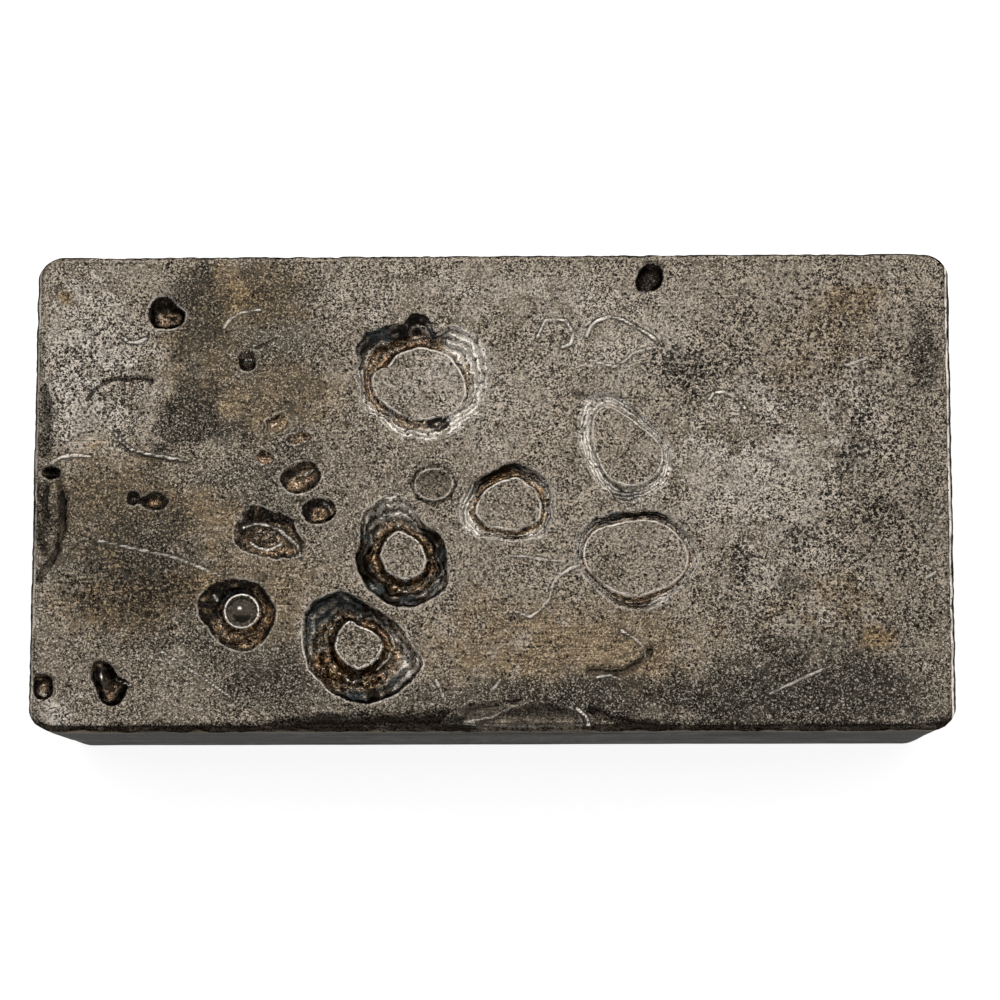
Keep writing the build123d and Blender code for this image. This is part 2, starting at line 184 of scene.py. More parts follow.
# Ridges that the setting skin left on the face: line, height, half-width, shine
RIDGES = {
    "small_ring": (((6.8, 23.3), (8.0, 25.9), (9.5, 26.1), (11.1, 25.8), (11.9, 24.4), (12.1, 23.3), (11.7, 22.1), (10.5, 21.8)), 0.10, 0.32, 0.55),
    "tall_ring": (((14.2, 23.4), (14.7, 24.8), (15.7, 25.8), (17.7, 26.4), (19.5, 26.0), (21.0, 25.1), (22.9, 24.0), (24.5, 22.9)), 0.12, 0.34, 0.70),
    "tall_ring_foot": (((24.4, 21.7), (22.9, 21.3), (21.0, 20.7), (19.9, 19.6), (18.3, 18.7), (15.4, 19.5), (14.2, 19.8)), 0.08, 0.30, 0.40),
    "low_wrinkle": (((13.1, -11.4), (11.6, -12.0), (9.7, -13.2), (9.0, -14.7), (8.5, -16.6), (7.3, -18.1), (5.7, -19.2), (3.5, -18.3)), 0.08, 0.32, 0.40),
    "upper_wrinkle": (((2.8, -10.0), (5.7, -10.2), (7.9, -10.6), (10.9, -10.9)), 0.06, 0.30, 0.30),
    "half_moon": (((19.3, -21.3), (21.2, -22.5), (22.5, -23.7), (22.7, -25.2)), 0.14, 0.35, 0.60),
    "half_moon_foot": (((15.6, -28.2), (17.5, -27.9), (19.7, -28.9)), 0.10, 0.35, 0.45),
    "right_arc": (((32.4, 13.6), (33.1, 14.6), (34.5, 14.8), (36.0, 14.2), (37.0, 13.2), (37.7, 12.3)), 0.10, 0.36, 0.60),
    "left_crescent": (((-55.3, 23.6), (-54.4, 22.8), (-53.0, 22.7), (-51.7, 23.4)), 0.16, 0.36, 0.90),
    "left_wrinkle": (((-56.4, 9.0), (-55.2, 7.5), (-53.6, 6.3), (-51.8, 5.8), (-49.4, 5.3), (-45.5, 4.6)), 0.16, 0.40, 0.65),
    "left_hair": (((-65.9, 4.3), (-64.4, 5.1), (-62.9, 5.5), (-61.1, 5.5), (-59.9, 5.2), (-58.8, 4.2)), 0.08, 0.28, 0.55),
    "arc_scratch": (((-40.2, 24.9), (-39.3, 26.2), (-37.8, 27.2), (-36.3, 27.5), (-34.8, 27.7)), 0.05, 0.25, 0.50),
    "front_inner_lip": (((-19.4, -18.8), (-17.2, -19.4), (-15.3, -21.2), (-14.4, -23.2), (-15.2, -25.2), (-17.0, -26.9)), 0.55, 0.40, 0.55),
    "shell_ridge": (((-36.8, -5.5), (-35.1, -4.8), (-33.1, -5.1), (-31.5, -5.8), (-30.1, -7.1)), 0.45, 0.35, 0.90),
    "shell_tip": (((-30.1, -7.1), (-28.8, -8.3), (-28.3, -10.0)), 0.30, 0.30, 0.70),
    "shell_floor": (((-35.8, -7.7), (-34.5, -8.6), (-33.1, -8.9), (-32.0, -8.3), (-31.2, -7.8)), 0.40, 0.30, 0.50),
    "oval_glint": (((-27.8, 2.6), (-26.9, 3.1), (-26.5, 3.2)), 0.30, 0.30, 0.75),
    "dimple_glint": (((-24.9, -1.9), (-24.2, -2.4), (-23.8, -3.0)), 0.30, 0.28, 0.85),
    "well_glint": (((-41.2, -15.6), (-40.7, -16.4)), 0.20, 0.30, 0.80),
    "fork_arm": (((-55.6, -28.2), (-54.4, -28.9), (-53.2, -29.3)), 0.35, 0.32, 0.90),
    "fork_glint": (((-57.9, -26.0), (-57.8, -27.4), (-57.4, -28.8)), 0.25, 0.28, 0.55),
    "flap_curl": (((12.6, -32.9), (14.0, -34.1), (14.4, -35.4)), 0.30, 0.36, 0.95),
    "flap_lip": (((-4.0, -35.0), (0.5, -35.3), (6.0, -35.4), (13.8, -35.4)), 0.12, 0.40, 0.10),
    "lens_foot": (((-3.8, -34.8), (0.1, -34.1), (3.1, -32.6), (4.8, -31.7)), 0.14, 0.45, 0.25),
}

# Cracks and folds: line, depth, half-width, how black
CRACKS = {
    "plate_crack": (((-64.6, 2.6), (-63.9, -1.3), (-63.9, -5.9), (-64.5, -8.6), (-65.8, -11.1), (-67.2, -13.4)), 0.80, 0.75, 1.0),
    "plate_curl": (((-65.9, 1.0), (-66.7, -1.5), (-66.2, -4.0), (-67.0, -7.0), (-66.4, -9.5)), 0.35, 0.60, 0.9),
    "end_dent": (((-66.9, 15.4), (-66.4, 12.4), (-66.4, 9.4), (-66.5, 5.0)), 0.70, 0.90, 0.5),
    "ragged_crack": (((-60.5, 14.0), (-59.4, 15.5), (-57.7, 16.7), (-56.2, 17.3), (-54.7, 17.0), (-53.2, 17.3), (-51.4, 17.0), (-50.8, 16.5)), 0.35, 0.40, 0.9),
    "left_fold": (((-55.6, 6.9), (-53.9, 5.7), (-51.8, 5.1), (-49.4, 4.7), (-45.5, 4.0)), 0.15, 0.45, 0.4),
    "crescent": (((14.6, -27.4), (17.0, -27.6), (19.0, -27.5), (20.7, -26.9), (22.7, -25.6), (23.3, -24.4)), 0.40, 0.70, 0.8),
    "saucer_line": (((-5.4, 0.9), (-6.4, 2.9), (-8.6, 3.8), (-10.8, 2.9), (-11.8, 0.9), (-10.8, -1.2), (-8.6, -2.1), (-6.4, -1.2), (-5.4, 0.9)), 0.25, 0.42, 1.0),
    "right_crease": (((39.9, 5.3), (41.4, 4.5), (42.8, 3.8), (43.7, 2.6)), 0.12, 0.30, 0.6),
    "small_groove": (((-35.2, 21.8), (-33.5, 22.6), (-32.3, 23.2)), 0.15, 0.30, 0.6),
    "lens_fold": (((-7.5, -33.5), (-3.8, -33.3), (0.9, -32.5), (4.3, -31.7)), 0.45, 0.60, 1.0),
    "flap_side": (((14.6, -33.0), (17.0, -34.2), (20.0, -34.8), (24.0, -35.4)), 0.50, 0.80, 1.0),
    # front_roll: a black band along the rolled front edge, partly soot and partly painted shade
    "front_roll": (((-31.5, -35.4), (-26.0, -35.1), (-17.5, -34.8), (-10.5, -34.7), (-5.0, -34.6)), 0.35, 1.45, 1.0),
    "flap_foot": (((-2.5, -35.7), (5.0, -35.8), (13.5, -35.7)), 0.20, 0.40, 0.9),
    "tear_mouth": (((12.4, 14.6), (14.4, 13.6), (17.6, 14.2), (19.6, 13.4)), 0.25, 0.70, 0.5),
}

# The fold in the front wall, painted only as a black line of shade: how far below the face, the middle and the
# half-length
FRONT_FOLD_DROP = 7.0
FRONT_FOLD_MIDDLE = 3.2
FRONT_FOLD_HALF = 8.5

# Scratches: two ends, a half-width and shine
SCRATCHES = (
    ((-48.7, -24.3), (-43.0, -27.9), 0.09, 0.45),
    ((-43.0, -27.9), (-37.0, -32.1), 0.10, 0.47),
    ((-58.8, -7.4), (-46.8, -10.1), 0.07, 0.40),
    ((-46.8, -10.1), (-40.2, -12.9), 0.06, 0.38),
    ((40.9, -30.8), (46.6, -28.1), 0.09, 0.45),
    ((46.6, -28.1), (49.0, -27.1), 0.11, 0.49),
    ((57.5, 35.0), (61.1, 31.5), 0.08, 0.43),
    ((52.5, 18.7), (56.1, 19.9), 0.07, 0.40),
    ((64.6, -6.3), (67.0, -2.1), 0.06, 0.38),
    ((64.2, -13.5), (65.7, -12.6), 0.07, 0.40),
    ((-8.1, -28.6), (-6.8, -31.6), 0.09, 0.45),
    ((1.3, -28.6), (-0.2, -30.8), 0.08, 0.43),
)

# Stains: middle, half-length, half-width, turn in degrees, strength
SOOT = (
    ((-8.6, 0.9), 2.8, 2.8, 0, 0.35),
    ((-45.0, 10.5), 5.0, 5.2, 0, 0.95),
    ((-40.0, 9.5), 4.5, 3.6, 0, 0.55),
    ((-44.5, 24.0), 5.0, 11.0, 0, 0.60),
    ((-34.0, 20.0), 11.0, 16.0, 0, 0.46),
    ((-33.0, 2.0), 12.0, 12.0, 0, 0.42),
    ((-47.0, 31.0), 4.0, 4.0, 0, 0.60),
    ((-56.0, -5.0), 14.0, 11.5, 0, 0.52),
    ((-48.0, -15.0), 15.0, 10.0, 0, 0.52),
    ((-36.0, -24.0), 13.0, 7.0, 0, 0.45),
    ((-30.0, -30.5), 14.0, 5.0, 0, 0.50),
    ((-8.0, -31.5), 12.0, 4.5, 4, 0.45),
    ((18.0, -31.5), 20.0, 5.0, 0, 0.75),
    ((46.0, -30.5), 22.0, 6.0, 0, 0.85),
    ((50.0, -23.0), 12.0, 3.5, 0, 0.30),
    ((53.5, 4.5), 3.0, 4.5, -20, 0.30),
    ((64.5, 19.0), 2.6, 10.0, 0, 0.65),
    ((65.0, 0.0), 3.0, 12.0, 0, 0.30),
    ((-66.5, -3.5), 1.8, 6.5, 0, 0.50),
    ((-67.0, 10.0), 1.2, 6.0, 0, 0.60),
    ((44.5, -14.5), 3.5, 2.2, 0, 0.55),
    ((58.0, -4.0), 4.5, 3.0, 30, 0.25),
    ((-31.0, 32.0), 9.0, 4.0, 0, 0.30),
)
FILM = (
    ((-38.0, 29.0), 9.0, 5.5, 0, 0.90),
    ((-32.0, 14.0), 9.0, 7.0, 0, 0.55),
    ((-52.0, -15.0), 12.0, 6.0, 0, 0.85),
    ((-44.0, -5.0), 9.0, 6.0, 0, 0.60),
    ((-57.0, -2.0), 12.0, 9.0, 0, 0.65),
    ((-44.0, 22.0), 7.0, 12.0, 0, 0.60),
    ((-60.0, 7.5), 3.0, 1.6, 0, 0.80),
    ((-64.0, 29.5), 1.6, 1.6, 0, 0.95),
    ((57.0, -22.5), 3.5, 2.5, 0, 0.95),
    ((50.0, -17.0), 10.0, 5.0, 0, 0.45),
    ((54.0, 29.0), 6.0, 2.0, 0, 0.55),
    ((48.0, 22.0), 9.0, 7.0, 0, 0.30),
    ((-33.0, -15.0), 8.0, 8.0, 0, 0.45),
    ((10.0, -23.0), 22.0, 7.0, 0, 0.60),
)
RUBBED = (
    ((-60.0, 26.0), 9.0, 8.0, 0, 0.75),
    ((-60.0, 16.0), 9.5, 8.0, 0, 1.00),
    ((-63.5, -33.0), 6.0, 3.5, 0, 1.00),
    ((-8.0, 29.0), 20.0, 5.0, 0, 0.45),
    ((-5.0, 14.0), 14.0, 9.0, 0, 0.35),
    ((42.0, 6.0), 14.0, 12.0, 0, 0.60),
    ((30.0, -2.0), 14.0, 8.0, 0, 0.30),
    ((18.0, 24.0), 18.0, 9.0, 0, 0.40),
    ((45.0, 13.0), 13.0, 9.0, 0, 0.50),
    ((45.0, -14.0), 12.0, 9.0, 0, 0.45),
    ((62.0, -33.0), 4.0, 2.0, 0, 0.35),
)
PEPPERED = (
    ((50.0, 22.0), 18.0, 14.0, 0, 0.30),
    ((58.0, -4.0), 10.0, 22.0, 0, 0.30),
    ((28.5, 18.5), 5.0, 3.0, -25, 0.85),
    ((53.8, 5.1), 2.8, 3.6, -15, 1.00),
    ((57.9, -3.0), 3.6, 1.8, 25, 1.00),
    ((55.1, 10.7), 1.8, 1.8, 0, 0.90),
    ((45.8, -7.3), 3.0, 1.8, 0, 0.90),
    ((37.0, -10.5), 1.6, 3.0, 0, 0.80),
    ((-58.0, 20.0), 9.0, 14.0, 0, 0.25),
    ((45.0, -18.0), 16.0, 8.0, 0, 0.25),
    ((-52.0, -15.0), 10.0, 4.0, 0, 0.7),
)


class IngotSizes(bpy.types.PropertyGroup):
    """The bar's form and how finely it is worked."""

    length: FloatProperty(
        name="Length", description="Bar's widest length, at the top edge",
        default=cad_high.x - cad_low.x, unit="LENGTH", precision=4,
    )
    width: FloatProperty(
        name="Width", description="Bar's widest width, at the top edge",
        default=cad_high.y - cad_low.y, unit="LENGTH", precision=4,
    )
    height: FloatProperty(
        name="Height", description="From the base to the open face",
        default=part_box("ingot")[1].z - cad_low.z, unit="LENGTH", precision=4,
    )
    draft: FloatProperty(
        name="Draft", description="How far the walls lean in toward the base",
        default=radians(4.7), subtype="ANGLE",
    )
    corner_radius: FloatProperty(
        name="Corner radius", description="Round of the upright corners", default=0.0039, unit="LENGTH", precision=4,
    )
    top_edge: FloatProperty(
        name="Top edge", description="Round between the open face and the walls", default=0.0011, unit="LENGTH", precision=4,
    )
    base_edge: FloatProperty(
        name="Base edge", description="Round between the walls and the base", default=0.002, unit="LENGTH", precision=4,
    )
    fine_step: FloatProperty(
        name="Fine step", description="Spacing of points among the hollows", default=0.00035, unit="LENGTH", precision=5,
    )
    plain_step: FloatProperty(
        name="Plain step", description="Spacing of points elsewhere", default=0.00056, unit="LENGTH", precision=5,
    )
    swell: FloatProperty(
        name="Swell", description="Height of the slow waves in the open face", default=0.00006, unit="LENGTH", precision=5,
    )
    chipping: FloatProperty(
        name="Chipping", description="How far the top edges are worn back", default=0.00030, unit="LENGTH", precision=5,
    )


def finish_colour(name, description, colour):
    """A colour of the finish, as linear red, green and blue."""
    return FloatVectorProperty(name=name, description=description, default=colour, subtype="COLOR", min=0, max=1)


class IngotFinish(bpy.types.PropertyGroup):
    """Colours and grain of the tarnished metal."""

    silver: finish_colour("Silver", "Metal where it is rubbed clean", (0.385, 0.342, 0.292))
    dull: finish_colour("Dull", "Metal under its everyday tarnish", (0.262, 0.220, 0.172))
    tarnish: finish_colour("Tarnish", "Darker clouds of tarnish", (0.176, 0.145, 0.108))
    # Soot stains; the same colour paints the shade on the edges and the shadows beside ridges
    soot_and_shade: finish_colour("Soot", "Black stains", (0.050, 0.044, 0.034))
    film: finish_colour("Film", "Olive brown film", (0.185, 0.130, 0.068))
    # Mould skin, darkened below its own tone as painted shade on the walls
    skin: finish_colour("Mould skin", "Walls and base, cast against the mould", (0.100, 0.098, 0.095))
    gold: finish_colour("Gold toning", "Thin sulphide in the hollows", (0.70, 0.45, 0.22))
    copper: finish_colour("Copper toning", "Thicker sulphide in the hollows", (0.44, 0.200, 0.085))
    steel_blue: finish_colour("Blue toning", "Thickest sulphide in the hollows", (0.115, 0.150, 0.160))
    umber: finish_colour("Umber", "Brown ground of the hollows", (0.210, 0.148, 0.090))
    char: finish_colour("Char", "Burnt flecks and pores", (0.018, 0.014, 0.011))
    # Bright: worn metal, and the colour of the painted highlights on lips, ridges, glints and lit shoulders
    bright: finish_colour("Bright", "Worn lips and scratches", (0.96, 0.88, 0.78))
    edge_tint: finish_colour("Edge tint", "Tint of what is mirrored at a grazing angle", (0.26, 0.255, 0.25))
    roughness: FloatProperty(name="Roughness", description="Gloss of the open face", default=0.32, min=0, max=1, subtype="FACTOR")
    pore_size: FloatProperty(name="Pore size", description="Size of the fine pores", default=0.000255, unit="LENGTH", precision=5)
    pore_depth: FloatProperty(name="Pore depth", description="Depth of the fine grain", default=0.00009, unit="LENGTH", precision=5)


class IngotStage(bpy.types.PropertyGroup):
    """Floor, lamps and camera."""

    floor_size: FloatProperty(name="Floor", description="Side of the floor", default=10.0, unit="LENGTH")
    floor_shade: FloatProperty(name="Floor shade", description="How much of its light the floor gives back", default=0.50, min=0, max=1, subtype="FACTOR")
    floor_glow: FloatProperty(name="Floor glow", description="Light of its own that lifts the floor to white", default=0.82, min=0, max=1, subtype="FACTOR")
    box_power: FloatProperty(name="Softbox", description="Power of the large overhead lamp", default=4.2, unit="POWER")
    back_power: FloatProperty(name="Back softbox", description="Power of the low lamp behind the bar", default=2.4, unit="POWER")
    right_power: FloatProperty(name="Right softbox", description="Power of the lamp past the right end", default=2.8, unit="POWER")
    left_power: FloatProperty(name="Left softbox", description="Power of the lamp past the left end", default=1.6, unit="POWER")
    front_power: FloatProperty(name="Front softbox", description="Power of the low lamp before the bar", default=3.4, unit="POWER")
    room: FloatProperty(name="Room", description="Level of the plain light all round", default=0.22, min=0)
    lens: FloatProperty(name="Lens", description="Focal length of the camera in millimetres", default=166.0)
    roll: FloatProperty(name="Roll", description="Turn of the camera about its own axis", default=radians(-0.2073), subtype="ANGLE")


def lattice(points, seed):
    """Smooth noise from -1 to 1, one cell of it to each unit of the points."""
    cell = np.floor(points).astype(np.int64)
    part = points - cell
    part = part * part * (3 - 2 * part)
    total = np.zeros(len(points))
    for corner in np.ndindex(*(2,) * points.shape[1]):
        mark = (cell + corner) @ np.array((374761393, 668265263, 1440662683))[: points.shape[1]] + seed * 974634721
        mark = (mark ^ (mark >> 13)) * 1274126177
        mark = (mark ^ (mark >> 16)) & 0xFFFF
        total += np.prod(np.where(np.array(corner, bool), part, 1 - part), axis=1) * mark / 32767.5
    return total - 1


def grain(points, size, seed, layers=3):
    """Layered noise whose largest lumps are about one size across."""
    return sum(lattice(points * 2**k / size + 0.37 * k, seed + k) * 0.5**k for k in range(layers)) / 1.5


def ease(value, start, end):
    """0 before start, 1 after end, smooth between."""
    t = np.clip((value - start) / (end - start), 0, 1)
    return t * t * (3 - 2 * t)


def shares_at(shares, turn):
    """A smooth closed line through the shares, read at each turn."""
    shares = np.array(shares)
    n = len(shares)
    way = (turn / (2 * np.pi) * n) % n
    i = np.floor(way).astype(int)
    f = way - i
    a, b, c, d = (shares[(i + k) % n] for k in (-1, 0, 1, 2))
    return b + 0.5 * f * (c - a + f * (2 * a - 5 * b + 4 * c - d + f * (3 * (b - c) + d - a)))


def to_line(x, y, line):
    """Distance of each point from a line through several places."""
    near = np.full(len(x), 1e9)
    for (ax, ay), (bx, by) in zip(line, line[1:]):
        run = (bx - ax) ** 2 + (by - ay) ** 2
        t = np.clip(((x - ax) * (bx - ax) + (y - ay) * (by - ay)) / run, 0, 1)
        near = np.minimum(near, np.hypot(x - ax - t * (bx - ax), y - ay - t * (by - ay)))
    return near


class Face:
    """Points seen from above: how high each stands, and how it has worn and toned."""

    marks = ("tone", "black", "soot_and_shade", "film", "rubbed_and_lit", "pepper", "gloss", "skin", "clouds", "drift", "lip", "brow", "shine")
    lines = ("rim", "edge", "seam", "split")
    none_near = 9.0

    def __init__(self, x, y):
        self.x, self.y = x, y
        self.flat = np.column_stack((x, y))
        for name in ("low", "rise", *self.marks):
            setattr(self, name, np.zeros(len(x)))
        for name in self.lines:
            setattr(self, name, np.full(len(x), self.none_near))

    def some(self, chosen):
        """A face of only the chosen points, to work on and lay back."""
        part = Face(self.x[chosen], self.y[chosen])
        for name in ("low", "rise", *self.marks, *self.lines):
            setattr(part, name, getattr(self, name)[chosen])
        return part

    def lay_back(self, chosen, part):
        for name in ("low", "rise", *self.marks, *self.lines):
            getattr(self, name)[chosen] = getattr(part, name)

    def round_about(self, place):
        """Distance and turn from a place, and the turn as a point on a ring."""
        dx, dy = self.x - place[0], self.y - place[1]
        turn = np.arctan2(dy, dx)
        return np.hypot(dx, dy), turn, np.column_stack((np.cos(turn), np.sin(turn)))

    def blister_lines(self, b, seed):
        far, turn, ring = self.round_about(b.place)
        island = shares_at(b.island, turn) * (1 + 0.3 * b.ragged * grain(ring * 5, 1.0, seed))
        mouth = shares_at(b.mouth, turn) * (1 + b.ragged * grain(ring * 7, 1.0, seed + 9))
        return far, turn, ring, island, np.maximum(mouth, island + 0.5)

    def pit_line(self, p, seed):
        far, turn, ring = self.round_about(p.place)
        return far, p.radius * shares_at(p.shares, turn) * (1 + p.ragged * grain(ring * 4, 1.0, seed))

    def snap(self, far, line, place, reach, free):
        """Slides the points that lie next to a rim onto it, so that the rim is crisp."""
        near = free & (np.abs(far - line) < reach) & (far > reach)
        pull = np.where(near, line / np.maximum(far, 1e-6), 1.0)
        self.x = place[0] + (self.x - place[0]) * pull
        self.y = place[1] + (self.y - place[1]) * pull
        return free & ~near

    def snap_rims(self, reach, free):
        """Draws the points along the rims of the blisters and pits onto them."""
        for seed, b in enumerate(BLISTERS.values()):
            far, _, _, island, _ = self.blister_lines(b, 100 + 20 * seed)
            free = self.snap(far, island, b.place, reach, free)
            far, _, _, _, mouth = self.blister_lines(b, 100 + 20 * seed)
            free = self.snap(far, mouth, b.place, reach, free)
        for seed, p in enumerate(PITS.values()):
            far, mouth = self.pit_line(p, 300 + 20 * seed)
            free = self.snap(far, mouth, p.place, reach, free)
        far = np.hypot(self.x - PITS["well"].place[0], self.y - PITS["well"].place[1])
        for rim in (BEAD_RADIUS - BEAD_RIM, BEAD_RADIUS - BEAD_RIM / 2, BEAD_RADIUS):
            free = self.snap(far, rim, PITS["well"].place, reach, free)

    def burst(self, b, seed):
        """Sinks the moat of a blister and leaves its island standing, with a thin lip."""
        far, turn, ring, island, mouth = self.blister_lines(b, seed)
        way = (far - island) / (mouth - island)
        inside = (way > 0) & (way < 1)
        near = far < mouth + 0.8
        depth = b.depth * shares_at(b.deep, turn)
        soft = np.interp(way, MOAT_WAY, MOAT_DEEP, left=0, right=0)
        sheer = np.interp(way, MOAT_WAY, SHEER_DEEP, left=0, right=0)
        deep = soft + (sheer - soft) * b.sheer
        lumps = grain(self.flat, 0.8, seed + 2) * 0.22 + grain(self.flat, 2.4, seed + 3) * 0.16
        drift = 0.5 + 0.45 * grain(ring * 3, 1.0, seed + 4)
        flow = np.sin(24 * way + 12 * drift)
        back = ease(np.sin(turn), -0.2, 0.6)
        shelf = ease(way, 0.30, 0.5) * (1 - ease(way, 0.85, 1.0)) * (0.5 + 0.5 * back)
        floor = -depth * deep * (1 + lumps) + b.flow * flow * shelf
        self.low = np.where(inside, np.minimum(self.low, np.minimum(floor, 0)), self.low)
        self.rise += 0.10 * b.lip * np.exp(-(((far - island + 0.10) / 0.24) ** 2))
        self.rise += 0.04 * np.exp(-(((far - mouth - 0.05) / 0.32) ** 2))
        self.rim = np.where(near, far - island, self.rim)
        self.edge = np.minimum(self.edge, far - mouth)
        self.drift = np.where(near, drift, self.drift)

        # Toned next to the island, then black or pale up to the mouth. The black is partly char and partly
        # painted shade; the pale is partly rubbed metal and partly painted light on the lit shoulders
        reach = shares_at(b.dark, turn) + 0.14 * grain(self.flat, 1.6, seed + 6)
        slope = ease(way, reach - 0.08, reach + 0.10)
        black = np.clip(shares_at(b.black, turn), 0, 1)
        worn = np.clip(0.75 + 0.7 * grain(self.flat, 1.4, seed + 5), 0, 1)
        fluted = ease(np.cos(turn - radians(42)), 0.90, 0.97) * (b.ragged > 0.05)
        kept = ease(shares_at(b.dark, turn), 0.04, 0.22)
        self.tone = np.where(near, b.tone * kept * (1 - slope) * (1 - 0.8 * fluted), self.tone)
        self.black = np.where(near, black * slope * np.clip(0.85 + 0.8 * grain(self.flat, 1.1, seed + 7), 0, 1), self.black)
        pale = slope * (1 - black) * np.clip(0.75 + 0.8 * grain(self.flat, 0.9, seed + 8), 0, 1)
        out = 1 - ease(way, 0.9, 1.25)
        # Painted light: the pale shoulders join the rubbed metal mark
        self.rubbed_and_lit = np.maximum(self.rubbed_and_lit, near * out * np.maximum(pale, 0.9 * fluted))
        self.soot_and_shade = np.where(near, self.soot_and_shade * (1 - out * slope), self.soot_and_shade)
        self.film = np.where(near, self.film * (1 - out * slope), self.film)
        # Lip and brow are drawn bright in the material, partly wear and partly painted highlight; the brow is dimmer
        # where the slope is painted black
        self.lip = np.where(near, b.lip * worn, self.lip)
        self.brow = np.where(near, 0.85 * b.lip * worn * worn * (1 - 0.5 * black) * b.sheer, self.brow)
        self.gloss = np.maximum(self.gloss, 0.70 * inside * (1 - ease(way, 0.9, 1.0)))

    def sink(self, p, seed):
        """Sinks a pit with a thin rim, with painted shade: the wall toward the back and the steep wall under the mouth
        are painted black.
        """
        far, mouth = self.pit_line(p, seed)
        way = far / mouth
        near = far < mouth + 0.7
        deep = np.clip(1 - way**p.steep, 0, 1)
        lumps = grain(self.flat, 0.9, seed + 2) * (0.34 - 0.24 * p.gloss)
        self.low = np.where(way < 1, np.minimum(self.low, -p.depth * deep * (1 + lumps)), self.low)
        self.rise += 0.05 * np.exp(-(((far - mouth - 0.06) / 0.24) ** 2))
        self.edge = np.minimum(self.edge, far - mouth)
        self.tone = np.where(near, p.tone, self.tone)
        # Painted shade: black on the wall toward the back, which faces away from the light, and on the steep wall under
        # the mouth; dusk blackens the floor as well
        toward = ((self.y - p.place[1]) - 0.5 * (self.x - p.place[0])) / mouth
        wall = ease(way, 0.25, 0.70) * ease(toward, -0.25, 0.55) + 0.6 * ease(way, 0.80, 0.98)
        spots = np.clip(0.85 + 0.7 * grain(self.flat, 1.0, seed + 3), 0, 1)
        self.black = np.where(near, p.tone * spots * np.clip(wall + p.dusk, 0, 1), self.black)
        # Bright brow round the mouth: partly wear, partly painted highlight
        self.brow = np.where(near, p.lip * np.clip(0.55 + 0.9 * grain(self.flat, 1.2, seed + 4), 0, 1), self.brow)
        self.shine = np.where(way < 1, 0, self.shine)
        self.gloss = np.maximum(self.gloss, p.gloss * (1 - ease(way, 0.85, 1.0)))

    def stand_bead(self, place):
        """Stands the bead in its well: a rim drawn bright as a painted highlight round a low glassy dome painted black,
        with a painted highlight spot on the dome.
        """
        far = np.hypot(self.x - place[0], self.y - place[1])
        inside = BEAD_RADIUS - BEAD_RIM
        dome = -BEAD_DROP - BEAD_BOWL + BEAD_DOME * np.clip(1 - (far / inside) ** 2, 0, 1)
        crest = -BEAD_DROP - 1.4 * np.clip(np.abs(far - inside - BEAD_RIM / 2) - 0.08, 0, None)
        bead = np.where(far < inside, np.maximum(dome, crest), crest)
        near = far < BEAD_RADIUS + 0.8
        self.low = np.where(far < BEAD_RADIUS + 0.4, np.maximum(self.low, bead), self.low)
        self.rim = np.where(near, far - BEAD_RADIUS, self.rim)
        self.lip = np.where(near, 1.0, self.lip)
        # Painted highlight: a spot on the dome, made bright through the rubbed mark, seam and shine; the rest of the
        # bead is painted black through the soot mark
        glint = np.exp(-((np.hypot(self.x - place[0] + 0.35, self.y - place[1] - 0.35) / 0.42) ** 2))
        self.soot_and_shade = np.where(near, 1.0 - glint, self.soot_and_shade)
        self.rubbed_and_lit = np.where(near, glint, self.rubbed_and_lit)
        self.film = np.where(near, 0.3 * (1 - glint), self.film)
        self.gloss = np.where(far < inside, 1 - ease(far, inside - 0.5, inside), self.gloss)
        self.seam = np.where(near, 0.5 * np.hypot(self.x - place[0] + 0.35, self.y - place[1] - 0.35), self.seam)
        self.shine = np.where(near, far < inside, self.shine)

    def ridge(self, line, height, half, shine, seed):
        """Raises a thin wrinkle of skin, or draws a scratch where it has no height. The material draws its line bright,
        partly wear and partly painted highlight, with a painted shadow beside it.
        """
        near = to_line(self.x, self.y, line) + 0.12 * grain(self.flat, 1.2, seed + 5)
        broken = np.clip(0.75 + 0.7 * grain(self.flat, 1.6, seed), 0.1, 1)
        self.rise += height * np.exp(-((near / half) ** 2)) * broken
        self.shine = np.where(near < self.seam, shine * broken, self.shine)
        self.seam = np.minimum(self.seam, near)

    def crack(self, line, depth, half, black, seed):
        near = (to_line(self.x, self.y, line) + 0.4 * half * grain(self.flat, 1.3, seed)) / half
        broken = np.clip(0.85 + 0.6 * grain(self.flat, 2.0, seed + 1), 0.15, 1)
        self.low = np.minimum(self.low, -depth * ease(1 - near, 0, 1) * broken)
        self.black = np.where((near < self.split) & (near < 2.5) & (self.edge > 0.4), black * broken, self.black)
        self.split = np.minimum(self.split, near)

    def stain(self, mark, stains, seed):
        """Spreads soft stains with clouded borders over one of the marks."""
        cloud = grain(self.flat, 7.0, seed, 4) * 0.40 + grain(self.flat, 1.6, seed + 7) * 0.25
        clear = 1 - getattr(self, mark)
        for (px, py), along, across, turn, strength in stains:
            c, s = np.cos(radians(turn)), np.sin(radians(turn))
            dx, dy = self.x - px, self.y - py
            out = np.hypot((dx * c + dy * s) / along, (dy * c - dx * s) / across)
            clear = clear * (1 - strength * (1 - ease(out + cloud, 0.40, 1.30)))
        setattr(self, mark, 1 - clear)

    def work(self, reach, place, how, *given):
        """Does one piece of work on the points within reach of a place."""
        chosen = np.flatnonzero(np.hypot(self.x - place[0], self.y - place[1]) < reach)
        part = self.some(chosen)
        getattr(part, how)(*given)
        self.lay_back(chosen, part)

